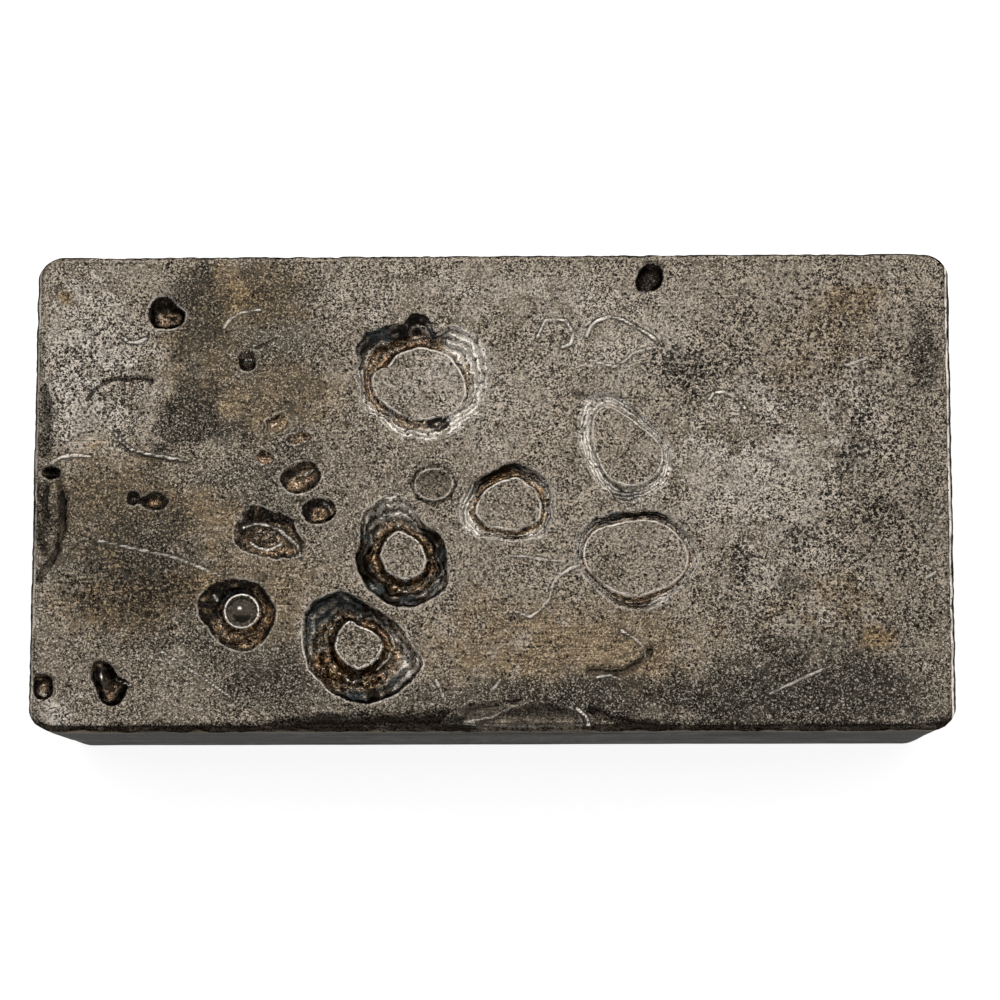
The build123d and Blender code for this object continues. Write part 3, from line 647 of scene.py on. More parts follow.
    def hollow_out(self):
        """Works every stain, hollow, ridge and crack of the open face."""
        self.stain("soot_and_shade", SOOT, 900)
        self.stain("film", FILM, 920)
        self.stain("rubbed_and_lit", RUBBED, 940)
        self.stain("pepper", PEPPERED, 960)
        for seed, b in enumerate(BLISTERS.values()):
            self.work(max(b.mouth) + 2, b.place, "burst", b, 100 + 20 * seed)
        for seed, p in enumerate(PITS.values()):
            self.work(p.radius * max(p.shares) * 1.3 + 1, p.place, "sink", p, 300 + 20 * seed)
        self.work(BEAD_RADIUS + 1, PITS["well"].place, "stand_bead", PITS["well"].place)
        for seed, (line, *how) in enumerate(RIDGES.values()):
            self.work(np.ptp(line, axis=0).max() + 3, line[len(line) // 2], "ridge", line, *how, 700 + 7 * seed)
        for seed, (start, end, half, shine) in enumerate(SCRATCHES):
            middle = ((start[0] + end[0]) / 2, (start[1] + end[1]) / 2)
            self.work(np.hypot(end[0] - start[0], end[1] - start[1]), middle, "ridge", (start, end), 0.0, half, shine, 850 + 7 * seed)
        for seed, (line, *how) in enumerate(CRACKS.values()):
            self.work(np.ptp(line, axis=0).max() + 3, line[len(line) // 2], "crack", line, *how, 800 + 3 * seed)


def stepped(half, fine_from, fine_to, fine, plain):
    """Places from -half to half, close together between two of them and wider elsewhere."""
    runs = ((-half, fine_from, plain), (fine_from, fine_to, fine), (fine_to, half, plain))
    parts = [np.linspace(a, b, max(2, round((b - a) / step)) + 1)[:-1] for a, b, step in runs if b > a]
    return np.append(np.concatenate(parts), half)


def round_corners(x, y, half_x, half_y, radius):
    """Bends the corners of a square grid into round ones."""
    u = np.clip((np.abs(x) - half_x + radius) / radius, 0, 1)
    v = np.clip((np.abs(y) - half_y + radius) / radius, 0, 1)
    along = np.where(u * v > 0, half_x - radius + radius * u * np.sqrt(1 - v * v / 2), np.abs(x))
    across = np.where(u * v > 0, half_y - radius + radius * v * np.sqrt(1 - u * u / 2), np.abs(y))
    return np.sign(x) * along, np.sign(y) * across


def cast_mesh(sizes):
    """Points, faces and marks of the casting, in millimetres with the base on zero."""
    half_x, half_y, height = sizes.length / MM / 2, sizes.width / MM / 2, sizes.height / MM
    edge, base, corner = sizes.top_edge / MM, sizes.base_edge / MM, sizes.corner_radius / MM
    fine, plain = sizes.fine_step / MM, sizes.plain_step / MM
    flat_x, flat_y, flat_corner = half_x - edge, half_y - edge, corner - edge

    columns = stepped(flat_x, -47.0, 36.0, fine, plain)
    rows = stepped(flat_y, -34.5, 28.0, fine, plain)
    nx, ny = len(columns), len(rows)
    x, y = (a.ravel() for a in np.meshgrid(columns, rows, indexing="ij"))
    x, y = round_corners(x, y, flat_x, flat_y, flat_corner)
    index = np.arange(nx * ny).reshape(nx, ny)
    border = np.concatenate((index[:, 0], index[-1, 1:], index[-2::-1, -1], index[0, -2:0:-1]))
    free = np.ones(nx * ny, bool)
    free[border] = False
    face = Face(x, y)
    face.snap_rims(0.4 * fine, free)
    face = Face(face.x, face.y)
    x, y = face.x, face.y

    # From the border of the face the rings run round the edge, down the wall and under the base
    out = np.column_stack((x[border], y[border]))
    heart = np.clip(out, (-(flat_x - flat_corner), -(flat_y - flat_corner)), (flat_x - flat_corner, flat_y - flat_corner))
    lead = out - heart
    lead /= np.linalg.norm(lead, axis=1)[:, None]
    lean = tan(sizes.draft)
    wall_top = -edge * (1 + sin(sizes.draft))
    rings = []
    for turn in (14, 28, 42, 56, 72):
        rings.append((-edge + edge * sin(radians(turn)), -edge * (1 - np.cos(radians(turn))), corner - edge * (1 - sin(radians(turn))), 0))
    wall_foot = -height + base
    for share in np.linspace(0, 1, 15):
        level = wall_top + (wall_foot - wall_top) * share
        rings.append((lean * (level - wall_top), level, corner, 1))
    foot_out = lean * (wall_foot - wall_top)
    for turn in (25, 50, 75, 90):
        rings.append((foot_out - base * (1 - np.cos(radians(turn))), wall_foot - base * sin(radians(turn)), corner - base * (1 - np.cos(radians(turn))), 2))
    rings.append((foot_out - base - 6.0, -height, corner, 3))
    rings.append((foot_out - base - 16.0, -height, corner, 3))

    count = len(border)
    ring_xy, ring_z, ring_kind = [], [], []
    for outset, level, radius, kind in rings:
        a, b = half_x + outset, half_y + outset
        radius = min(radius, b - 1)
        scale = ((a - radius) / (flat_x - flat_corner), (b - radius) / (flat_y - flat_corner))
        ring_xy.append(heart * scale + lead * radius)
        ring_z.append(np.full(count, level))
        ring_kind.append(np.full(count, kind))
    ring_xy, ring_z = np.concatenate(ring_xy), np.concatenate(ring_z)
    ring_kind = np.concatenate(ring_kind)
    ring_lead = np.tile(lead, (len(rings), 1))

    # The open face
    face.hollow_out()
    swell = sizes.swell / MM
    top = face.low + face.rise + swell * grain(face.flat, 16.0, 11) + 0.012 * grain(face.flat, 0.8, 12)
    plate = 1 - ease(to_line(x, y, ((-66.0, 1.5), (-66.0, -7.5))), 1.4, 2.2)
    top += plate * 0.14 * grain(face.flat, 1.1, 13)
    rolled = ease(x, -31, -26) * (1 - ease(x, -7, -2))
    top -= 0.55 * rolled * ease(-y, half_y - 3.0, half_y - edge) ** 2
    frayed = grain(face.flat, 2.2, 14) + 0.5 * grain(face.flat, 0.8, 15)
    to_front, to_back, to_end = half_y + y, half_y - y, half_x - np.abs(x)
    # Soot and painted shade along the face's edges: a black band at the front, widest where the edge rolls down, and
    # fainter at the back and ends
    edge_soiling_and_shade = 1 - ease(to_front - 0.7 * frayed - 1.1 * rolled, 0.9, 1.7)
    edge_soiling_and_shade = np.maximum(edge_soiling_and_shade, 0.5 * (1 - ease(np.minimum(to_back, to_end) - 0.4 * frayed, 0.9, 1.6)))
    face.soot_and_shade = np.maximum(face.soot_and_shade, edge_soiling_and_shade)
    dimmer = 0.20 * np.exp(-(((x + 33) / 15) ** 2)) * ease(y, -20, 0) + 0.16 * ease(-y, 12, 26)
    face.clouds = 0.5 - dimmer + 0.22 * grain(face.flat, 9.0, 17, 4) + 0.28 * grain(face.flat, 1.8, 18, 3)
    face.drift = np.where(face.drift > 0, face.drift, 0.5 + 0.45 * grain(face.flat, 3.4, 19, 3))

    # Edge, wall and base
    sides = Face(ring_xy[:, 0], ring_xy[:, 1])
    sides.hollow_out()
    solid = np.column_stack((ring_xy, ring_z))
    wear = sizes.chipping / MM
    front = ease(-ring_lead[:, 1], 0.5, 0.9)
    chips = np.clip(0.35 + grain(solid, 2.4, 21) + 0.5 * grain(solid, 0.9, 22), 0, 1.3) * (0.6 + 0.9 * front)
    at_edge = (1 - ease(-ring_z, edge, 3.2)) * ease(-ring_z, 0, 0.35 * edge)
    ripple = 0.5 + 0.5 * grain(solid * (0.25, 0.25, 1.0), 4.5, 23)
    on_wall = ease(-ring_z, edge, 3.5) * (1 - ease(-ring_z, height - base, height - 0.2 * base))
    back = wear * chips * at_edge + on_wall * (0.20 * ripple + 0.08 * (0.5 + 0.5 * grain(solid, 6.0, 24)))
    solid[:, :2] -= ring_lead * back[:, None]
    solid[:, 2] -= 0.5 * wear * chips * at_edge
    cut = (sides.low < -0.05) & (ring_z > -6)
    solid[:, 2] = np.where(cut, np.minimum(solid[:, 2], sides.low), solid[:, 2])
    rolled = ease(ring_xy[:, 0], -31, -26) * (1 - ease(ring_xy[:, 0], -7, -2)) * front
    solid[:, 2] -= 0.55 * rolled * (1 - ease(-ring_z, 0.2 * edge, 2.5))
    solid[:, 2] = np.maximum(solid[:, 2], -height)
    sides.skin = ease(-ring_z, 0.8 * edge, 1.3 * edge)
    off_face = 1 - sides.skin
    for mark in ("tone", "black", "lip", "brow", "shine", "gloss", "pepper", "film", "rubbed_and_lit"):
        setattr(sides, mark, getattr(sides, mark) * off_face)
    # Painted shade on the top edge round: soot and black drawn as a dark outline all round, heaviest at the front
    round_mottle = np.clip(0.75 + 0.7 * grain(solid, 1.5, 25), 0, 1)
    round_soiling_and_shade = np.maximum(front, ease(-ring_z, 0.15 * edge, 0.45 * edge)) * (1 - ease(-ring_z, 0.9 * edge, 1.5 * edge))
    sides.soot_and_shade = np.maximum(sides.soot_and_shade * off_face, (0.8 + 0.2 * front) * round_mottle * round_soiling_and_shade)
    in_flap = ease(ring_xy[:, 0], -3.5, -2.0) * (1 - ease(ring_xy[:, 0], 13.0, 14.5))
    brim = np.maximum(front, 0.95 * ease(-ring_z, 0.08 * edge, 0.24 * edge))
    edge_tar_and_shade = brim * off_face * np.clip(0.9 + 0.6 * grain(solid, 2.4, 31), 0, 1) * (1 - 0.7 * in_flap * front)
    sides.black = np.maximum(sides.black, edge_tar_and_shade)
    sides.split = np.where(edge_tar_and_shade > 0.2, 0.3, sides.split)
    # A bright line just inside each end, brighter at the right: partly wear, partly painted highlight on the edge round
    worn_highlight_line = np.abs(half_x - np.abs(ring_xy[:, 0]) - 0.50 - 0.12 * grain(solid, 2.0, 26))
    worn = (0.6 + 0.3 * np.sign(ring_xy[:, 0])) * np.clip(0.7 + 0.8 * grain(solid, 2.5, 30), 0, 1) * off_face
    sides.shine = np.where(worn_highlight_line < sides.seam, worn, sides.shine)
    sides.seam = np.minimum(sides.seam, worn_highlight_line)
    sides.clouds = 0.5 + 0.30 * grain(solid, 9.0, 27, 4) + 0.32 * grain(solid, 1.8, 28, 3)
    sides.drift = 0.5 + 0.45 * grain(solid, 3.4, 29, 3)

    points = np.concatenate((np.column_stack((x, y, top)), solid))
    points[:, 2] += height
    marks = {m: np.clip(np.concatenate((getattr(face, m), getattr(sides, m))), 0, 1) for m in Face.marks}
    marks.update({m: np.concatenate((getattr(face, m), getattr(sides, m))) for m in Face.lines})

    faces = np.column_stack([index[:-1, :-1].ravel(), index[1:, :-1].ravel(), index[1:, 1:].ravel(), index[:-1, 1:].ravel()]).tolist()
    loops = [border] + [nx * ny + k * count + np.arange(count) for k in range(len(rings))]
    for upper, lower in zip(loops, loops[1:]):
        faces += np.column_stack((upper, lower, np.roll(lower, -1), np.roll(upper, -1))).tolist()
    last = loops[-1].tolist()
    near_side, right_side = last[:nx], last[nx - 1 : nx + ny - 1]
    far_side = last[nx + ny - 2 : 2 * nx + ny - 2][::-1]
    left_side = [last[0]] + last[: 2 * nx + ny - 3 : -1] + [far_side[0]]
    for i in range(1, nx - 2):
        faces.append([near_side[i], far_side[i], far_side[i + 1], near_side[i + 1]])
    faces.append([near_side[1]] + left_side + [far_side[1]])
    faces.append([far_side[-2]] + right_side[::-1] + [near_side[-2]])
    return points * MM, faces, marks


def put(tree, kind, inputs=None, **settings):
    """Adds a node, sets it up and joins its inputs to values or to other nodes."""
    node = tree.nodes.new(kind)
    for name, value in settings.items():
        setattr(node, name, value)
    for key, value in (inputs or {}).items():
        if isinstance(value, bpy.types.NodeSocket):
            tree.links.new(value, node.inputs[key])
        else:
            node.inputs[key].default_value = value
    return node


def sum_of(tree, how, a, b=0.0):
    """One step of arithmetic."""
    return put(tree, "ShaderNodeMath", {0: a, 1: b}, operation=how).outputs[0]


def between(tree, value, start, end, low=0.0, high=1.0, how="SMOOTHSTEP"):
    """Goes from low to high as a value goes from start to end."""
    inputs = {"Value": value, "From Min": start, "From Max": end, "To Min": low, "To Max": high}
    return put(tree, "ShaderNodeMapRange", inputs, interpolation_type=how).outputs[0]


def blend(tree, share, a, b, how="MIX"):
    """Lays one colour over another."""
    node = put(tree, "ShaderNodeMix", {0: share, 6: a, 7: b}, data_type="RGBA", blend_type=how)
    return node.outputs[2]


def cloud(tree, where, size, detail=3.0, rough=0.55, bend=0.0):
    """Noise whose lumps are about one size across, in millimetres."""
    inputs = {"Vector": where, "Scale": 1 / size, "Detail": detail, "Roughness": rough, "Distortion": bend}
    return put(tree, "ShaderNodeTexNoise", inputs).outputs["Fac"]


def mark_of(tree, name):
    """A mark that the casting carries at each of its points."""
    return put(tree, "ShaderNodeAttribute", attribute_name=name).outputs["Fac"]


def new_group(name, takes, gives):
    """An empty shader group with its sockets."""
    group = bpy.data.node_groups.new(name, "ShaderNodeTree")
    for socket, kind, value in takes:
        made = group.interface.new_socket(name=socket, in_out="INPUT", socket_type=kind)
        if value is not None:
            made.default_value = value
    for socket, kind in gives:
        group.interface.new_socket(name=socket, in_out="OUTPUT", socket_type=kind)
    return group, group.nodes.new("NodeGroupInput"), group.nodes.new("NodeGroupOutput")


def pores_group():
    """Fine grain of cast metal: how light each speck is, which ones are bright, how high they stand."""
    group, take, give = new_group(
        "cast_grain",
        (("Place", "NodeSocketVector", None), ("Size", "NodeSocketFloat", 0.3), ("Pepper", "NodeSocketFloat", 0.0)),
        (("Shade", "NodeSocketFloat"), ("Specks", "NodeSocketFloat"), ("Height", "NodeSocketFloat"), ("Holes", "NodeSocketFloat")),
    )
    scaled = put(group, "ShaderNodeVectorMath", {0: take.outputs["Place"]}, operation="SCALE")
    group.links.new(sum_of(group, "DIVIDE", 1.0, take.outputs["Size"]), scaled.inputs["Scale"])
    fine = cloud(group, scaled.outputs[0], 1.0, 1.0, 0.5, 0.6)
    broad = cloud(group, scaled.outputs[0], 1.9, 1.0, 0.5, 0.8)
    worms = sum_of(group, "SINE", sum_of(group, "MULTIPLY", broad, 30.0))
    both = sum_of(group, "MULTIPLY_ADD", worms, 0.055)
    group.links.new(fine, both.node.inputs[2])
    pitted = sum_of(group, "MULTIPLY_ADD", take.outputs["Pepper"], -0.018)
    group.links.new(both, pitted.node.inputs[2])
    group.links.new(between(group, pitted, 0.412, 0.593, 0.16, 2.06, "LINEAR"), give.inputs["Shade"])
    group.links.new(between(group, both, 0.55, 0.68), give.inputs["Specks"])
    group.links.new(both, give.inputs["Height"])
    cells = put(group, "ShaderNodeTexVoronoi", {"Vector": take.outputs["Place"], "Scale": 1.4}, voronoi_dimensions="2D")
    chance = sum_of(group, "ADD", cells.outputs["Color"], take.outputs["Pepper"])
    radius = between(group, chance, 0.44, 1.05, 0.0, 0.47, "LINEAR")
    inside = sum_of(group, "SUBTRACT", radius, cells.outputs["Distance"])
    group.links.new(between(group, inside, -0.05, 0.05), give.inputs["Holes"])
    return group


def toning_group(finish):
    """Colours of thin sulphide in the hollows, from gold through copper to blue and black."""
    group, take, give = new_group(
        "hollow_toning",
        (("Place", "NodeSocketVector", None), ("Drift", "NodeSocketFloat", 0.5), ("Depth", "NodeSocketFloat", 0.0)),
        (("Colour", "NodeSocketColor"), ("Fleck", "NodeSocketFloat")),
    )
    fleck = cloud(group, take.outputs["Place"], 0.62, 2.0, 0.7, 0.9)
    drift = take.outputs["Drift"]
    warm = blend(group, between(group, drift, 0.40, 0.56), (*finish.gold, 1), (*finish.copper, 1))
    cold = blend(group, between(group, drift, 0.57, 0.67), warm, (*finish.steel_blue, 1))
    colour = blend(group, between(group, fleck, 0.52, 0.63), (*finish.umber, 1), cold)
    burnt = sum_of(group, "MULTIPLY", between(group, fleck, 0.48, 0.38), take.outputs["Depth"])
    group.links.new(blend(group, burnt, colour, (*finish.char, 1)), give.inputs["Colour"])
    group.links.new(fleck, give.inputs["Fleck"])
    return group


def tarnished_metal(finish):
    """The finish of the whole bar."""
    material = bpy.data.materials.new("tarnished_metal")
    material.use_nodes = True
    tree = material.node_tree
    tree.nodes.clear()
    shader = put(tree, "ShaderNodeBsdfPrincipled", {"Metallic": 1.0, "Roughness": finish.roughness, "Specular Tint": (*finish.edge_tint, 1)})
    put(tree, "ShaderNodeOutputMaterial", {"Surface": shader.outputs[0]})

    place = put(tree, "ShaderNodeTexCoord").outputs["Object"]
    scaled = put(tree, "ShaderNodeVectorMath", {0: place}, operation="SCALE")
    scaled.inputs["Scale"].default_value = 1 / MM
    where = scaled.outputs[0]
    mark = {name: mark_of(tree, name) for name in Face.marks + Face.lines}
    shades = ("silver", "dull", "tarnish", "soot_and_shade", "film", "skin", "bright", "char")
    tint = {name: (*getattr(finish, name), 1) for name in shades}

    pores = put(tree, "ShaderNodeGroup", {}, node_tree=pores_group())
    tree.links.new(where, pores.inputs["Place"])
    tree.links.new(mark["pepper"], pores.inputs["Pepper"])
    pores.inputs["Size"].default_value = finish.pore_size / MM
    toning = put(tree, "ShaderNodeGroup", {}, node_tree=toning_group(finish))
    tree.links.new(where, toning.inputs["Place"])
    tree.links.new(mark["drift"], toning.inputs["Drift"])
    tree.links.new(mark["tone"], toning.inputs["Depth"])
    fleck = toning.outputs["Fleck"]

    # Clouds of tarnish over the dull metal, flecked at their borders
    clouds = sum_of(tree, "MULTIPLY_ADD", fleck, 0.35)
    tree.links.new(sum_of(tree, "SUBTRACT", mark["clouds"], 0.175), clouds.node.inputs[2])
    colour = blend(tree, between(tree, clouds, 0.62, 0.34), tint["dull"], tint["tarnish"])
    # Rubbed metal, with the painted light of the pale moat shoulders and the bead's highlight
    rubbed_and_lit = sum_of(tree, "MULTIPLY", mark["rubbed_and_lit"], between(tree, clouds, 0.30, 0.60))
    colour = blend(tree, rubbed_and_lit, colour, tint["silver"])
    filmed = sum_of(tree, "MULTIPLY", mark["film"], between(tree, clouds, 0.70, 0.38))
    colour = blend(tree, filmed, colour, tint["film"])
    drawn = put(tree, "ShaderNodeVectorMath", {0: where, 1: (0.10, 1.0, 1.0)}, operation="MULTIPLY").outputs[0]
    wiped = between(tree, cloud(tree, drawn, 0.45, 2.0, 0.6), 0.38, 0.62, 0.45, 1.45)
    wiped = put(tree, "ShaderNodeMix", {0: mark["film"], 2: 1.0, 3: wiped}).outputs[0]
    colour = blend(tree, 1.0, colour, wiped, "MULTIPLY")

    # Walls and base, with the lines where the metal lapped as it rose in the mould
    flat = put(tree, "ShaderNodeVectorMath", {0: where, 1: (0.05, 0.05, 1.0)}, operation="MULTIPLY").outputs[0]
    lap_line = between(tree, cloud(tree, flat, 3.2, 2.0, 0.6, 0.5), 0.46, 0.40)
    lap_line = sum_of(tree, "MULTIPLY", lap_line, mark["skin"])
    # Walls painted darker than the face: mould skin, partly painted shade
    wall = blend(tree, between(tree, clouds, 0.72, 0.34, 0.0, 0.85), tint["skin"], tint["soot_and_shade"])
    colour = blend(tree, mark["skin"], colour, wall)
    axes = put(tree, "ShaderNodeSeparateXYZ", {"Vector": where})
    drop = sum_of(tree, "SUBTRACT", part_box("ingot")[1].z / MM, axes.outputs["Z"])
    top_line = sum_of(tree, "MULTIPLY", between(tree, drop, 1.0, 1.8), between(tree, drop, 5.5, 3.0, 0.0, 0.6))
    colour = blend(tree, sum_of(tree, "MULTIPLY", top_line, mark["skin"]), colour, tint["dull"])
    # Painted shade: the fold in the front wall is a black line with no relief under it
    fold = between(tree, sum_of(tree, "ABSOLUTE", sum_of(tree, "SUBTRACT", drop, FRONT_FOLD_DROP)), 1.5, 0.8)
    fold = sum_of(tree, "MULTIPLY", fold, between(tree, axes.outputs["Y"], -33.0, -34.5))
    along = sum_of(tree, "ABSOLUTE", sum_of(tree, "SUBTRACT", axes.outputs["X"], FRONT_FOLD_MIDDLE))
    fold = sum_of(tree, "MULTIPLY", fold, between(tree, along, FRONT_FOLD_HALF, FRONT_FOLD_HALF - 2.0))
    colour = blend(tree, fold, colour, tint["char"])
    colour = blend(tree, sum_of(tree, "MULTIPLY", lap_line, 0.8), colour, tint["soot_and_shade"])

    # Soot, with the painted shade on the edge rounds, worn through on the bright specks
    sooty_and_shaded = sum_of(tree, "ADD", sum_of(tree, "MULTIPLY", mark["soot_and_shade"], 1.35), sum_of(tree, "MULTIPLY", sum_of(tree, "SUBTRACT", fleck, 0.62), 0.9))
    sooty_and_shaded = sum_of(tree, "MULTIPLY", between(tree, sooty_and_shaded, 0.0, 1.0), between(tree, mark["soot_and_shade"], 0.0, 0.25))
    sooty_and_shaded = sum_of(tree, "MULTIPLY", sooty_and_shaded, between(tree, pores.outputs["Specks"], 0.0, 1.0, 1.0, 0.55))
    colour = blend(tree, sooty_and_shaded, colour, tint["soot_and_shade"])

    # Hollows: toned round the island, streaked where the metal flowed, black partly as char and partly as painted shade
    # on the walls, pale as painted light on the lit shoulders, with painted glints
    stray = sum_of(tree, "SUBTRACT", fleck, 0.5)
    shift = sum_of(tree, "MULTIPLY", stray, 0.4)
    rim = sum_of(tree, "ADD", mark["rim"], shift)
    edge = sum_of(tree, "ADD", mark["edge"], shift)
    hollow = sum_of(tree, "MULTIPLY", between(tree, rim, -0.02, 0.06), between(tree, edge, 0.02, -0.06))
    way = sum_of(tree, "DIVIDE", rim, sum_of(tree, "MAXIMUM", sum_of(tree, "SUBTRACT", rim, edge), 0.05))
    turn = sum_of(tree, "ADD", sum_of(tree, "MULTIPLY", way, 24.0), sum_of(tree, "MULTIPLY", mark["drift"], 12.0))
    turn = sum_of(tree, "ADD", turn, sum_of(tree, "MULTIPLY", stray, 7.0))
    streak = between(tree, sum_of(tree, "SINE", turn), -0.7, 0.7)
    toned = sum_of(tree, "ADD", mark["tone"], sum_of(tree, "MULTIPLY", stray, 0.8))
    toned = sum_of(tree, "MULTIPLY", between(tree, toned, 0.10, 0.60), hollow)
    colour = blend(tree, toned, colour, toning.outputs["Colour"])
    black = sum_of(tree, "ADD", mark["black"], sum_of(tree, "MULTIPLY", stray, 0.8))
    black = sum_of(tree, "SUBTRACT", black, sum_of(tree, "MULTIPLY", streak, 0.30))
    black = sum_of(tree, "MULTIPLY", between(tree, black, 0.0, 0.60), hollow)
    pale = sum_of(tree, "MULTIPLY", between(tree, sum_of(tree, "ADD", streak, stray), 0.1, 0.9, 0.15, 0.85), mark["rubbed_and_lit"])
    colour = blend(tree, sum_of(tree, "MULTIPLY", pale, hollow), colour, tint["bright"])
    groove = sum_of(tree, "MULTIPLY", between(tree, rim, 0.02, 0.10), between(tree, rim, 0.50, 0.22))
    groove = sum_of(tree, "MULTIPLY", sum_of(tree, "MULTIPLY", groove, mark["tone"]), between(tree, fleck, 0.58, 0.42))
    split = sum_of(tree, "MULTIPLY", between(tree, mark["split"], 1.0, 0.40), mark["black"])
    dark = sum_of(tree, "MAXIMUM", sum_of(tree, "MAXIMUM", black, groove), split)
    blued = sum_of(tree, "MULTIPLY", between(tree, mark["drift"], 0.50, 0.68, 0.0, 0.28), between(tree, mark["rim"], 8.5, 8.0))
    burnt = blend(tree, blued, tint["char"], (*finish.steel_blue, 1))
    colour = blend(tree, dark, colour, burnt)
    # Painted highlights: bright glints in the toned hollows
    glint = sum_of(tree, "MULTIPLY", sum_of(tree, "MULTIPLY", pores.outputs["Specks"], hollow), between(tree, fleck, 0.48, 0.62))
    glint = sum_of(tree, "MULTIPLY", glint, between(tree, dark, 0.1, 0.7, 1.0, 0.10))
    glint = sum_of(tree, "MULTIPLY", glint, between(tree, mark["tone"], 0.05, 0.50))
    colour = blend(tree, sum_of(tree, "MULTIPLY", glint, 0.8), colour, tint["bright"])

    # Black pores, in clusters where the face is peppered
    cluster = sum_of(tree, "MULTIPLY", mark["pepper"], between(tree, mark["clouds"], 0.50, 0.34, 0.01, 0.12))
    pore = between(tree, sum_of(tree, "SUBTRACT", fleck, cluster), 0.405, 0.355)
    pore = sum_of(tree, "MAXIMUM", pore, pores.outputs["Holes"])
    pore = sum_of(tree, "MULTIPLY", pore, between(tree, mark["skin"], 0.0, 1.0, 0.9, 0.0))
    colour = blend(tree, pore, colour, tint["char"])

    # Grain, finer on the walls and calmer in the glossy hollows
    calm = between(tree, mark["gloss"], 0.0, 1.0, 1.0, 0.10, "LINEAR")
    calm = sum_of(tree, "MULTIPLY", calm, between(tree, mark["skin"], 0.0, 1.0, 1.0, 0.45))
    calm = sum_of(tree, "MULTIPLY", calm, between(tree, mark["drift"], 0.30, 0.65, 0.60, 1.15))
    calm = sum_of(tree, "MULTIPLY", calm, between(tree, sum_of(tree, "MULTIPLY", pale, hollow), 0.0, 0.8, 1.0, 0.25))
    calm = sum_of(tree, "MULTIPLY", calm, between(tree, mark["film"], 0.0, 0.7, 1.0, 0.60))
    calm = sum_of(tree, "MULTIPLY", calm, between(tree, clouds, 0.35, 0.60, 0.80, 1.0))
    shade = put(tree, "ShaderNodeMix", {0: calm, 2: 1.0, 3: pores.outputs["Shade"]}).outputs[0]
    colour = blend(tree, 1.0, colour, shade, "MULTIPLY")
    colour.node.clamp_result = True

    # Bright specks where the tarnish has worn through
    speck = sum_of(tree, "MULTIPLY", between(tree, pores.outputs["Specks"], 0.30, 0.90, 0.0, 0.75), between(tree, mark["film"], 0.0, 0.7, 1.0, 0.6))
    speck = sum_of(tree, "MULTIPLY", speck, between(tree, sum_of(tree, "ADD", mark["skin"], hollow), 0.0, 0.6, 1.0, 0.0))
    speck = sum_of(tree, "MULTIPLY", speck, between(tree, sum_of(tree, "ADD", dark, mark["gloss"]), 0.0, 0.5, 1.0, 0.0))
    speck = sum_of(tree, "MULTIPLY", speck, between(tree, mark["soot_and_shade"], 0.0, 0.8, 1.0, 0.40))
    speck_tint = blend(tree, sum_of(tree, "MULTIPLY", mark["film"], 0.7), tint["silver"], (*finish.gold, 1))
    colour = blend(tree, speck, colour, speck_tint, "LIGHTEN")
    worn = sum_of(tree, "MAXIMUM", mark["film"], between(tree, clouds, 0.55, 0.35))
    spark = sum_of(tree, "MULTIPLY", between(tree, pores.outputs["Specks"], 0.86, 1.0), between(tree, worn, 0.0, 0.8, 0.05, 0.28))
    spark = sum_of(tree, "MULTIPLY", spark, between(tree, speck, 0.0, 0.3))
    spark_tint = blend(tree, sum_of(tree, "MULTIPLY", mark["film"], 0.8), tint["bright"], (*finish.gold, 1))
    colour = blend(tree, spark, colour, spark_tint, "LIGHTEN")

    # Worn lips, ridges and scratches drawn bright, partly wear and partly painted highlight, with a painted shadow
    # beside each ridge
    lip = sum_of(tree, "MULTIPLY", between(tree, rim, -0.36, -0.20), between(tree, rim, 0.06, -0.06))
    brow = sum_of(tree, "MULTIPLY", between(tree, edge, -0.05, 0.06), between(tree, edge, 0.36, 0.16))
    lip = sum_of(tree, "MULTIPLY", lip, mark["lip"])
    brow = sum_of(tree, "MULTIPLY", brow, mark["brow"])
    shine = between(tree, mark["shine"], 0.0, 0.65, 0.0, 1.0, "LINEAR")
    ridge = sum_of(tree, "MULTIPLY", between(tree, mark["seam"], 0.26, 0.08), shine)
    # Painted shadow: a dark band beside each ridge and scratch
    shadow = sum_of(tree, "MULTIPLY", between(tree, mark["seam"], 0.16, 0.28), between(tree, mark["seam"], 0.55, 0.34))
    colour = blend(tree, sum_of(tree, "MULTIPLY", shadow, shine), colour, tint["soot_and_shade"])
    raised = sum_of(tree, "MAXIMUM", sum_of(tree, "MAXIMUM", lip, brow), ridge)
    colour = blend(tree, sum_of(tree, "MULTIPLY", raised, between(tree, fleck, 0.32, 0.46)), colour, tint["bright"])
    tree.links.new(colour, shader.inputs["Base Color"])

    # Gloss
    rough = between(tree, clouds, 0.25, 0.75, finish.roughness - 0.06, finish.roughness + 0.08)
    rough = sum_of(tree, "ADD", rough, sum_of(tree, "MULTIPLY", sooty_and_shaded, 0.08))
    rough = sum_of(tree, "ADD", rough, sum_of(tree, "MULTIPLY", mark["skin"], 0.08))
    rough = sum_of(tree, "SUBTRACT", rough, sum_of(tree, "MULTIPLY", mark["gloss"], 0.18))
    tree.links.new(rough, shader.inputs["Roughness"])

    # Relief too fine for the mesh
    height = sum_of(tree, "MULTIPLY", pores.outputs["Height"], calm)
    height = sum_of(tree, "SUBTRACT", height, lap_line)
    height = sum_of(tree, "ADD", height, sum_of(tree, "MULTIPLY", raised, 0.9))
    height = sum_of(tree, "SUBTRACT", height, sum_of(tree, "MULTIPLY", split, 1.5))
    height = sum_of(tree, "ADD", height, sum_of(tree, "MULTIPLY", sum_of(tree, "MULTIPLY", streak, hollow), 0.7))
    bump = put(tree, "ShaderNodeBump", {"Strength": 1.0, "Distance": finish.pore_depth, "Height": height})
    tree.links.new(bump.outputs[0], shader.inputs["Normal"])
    return material


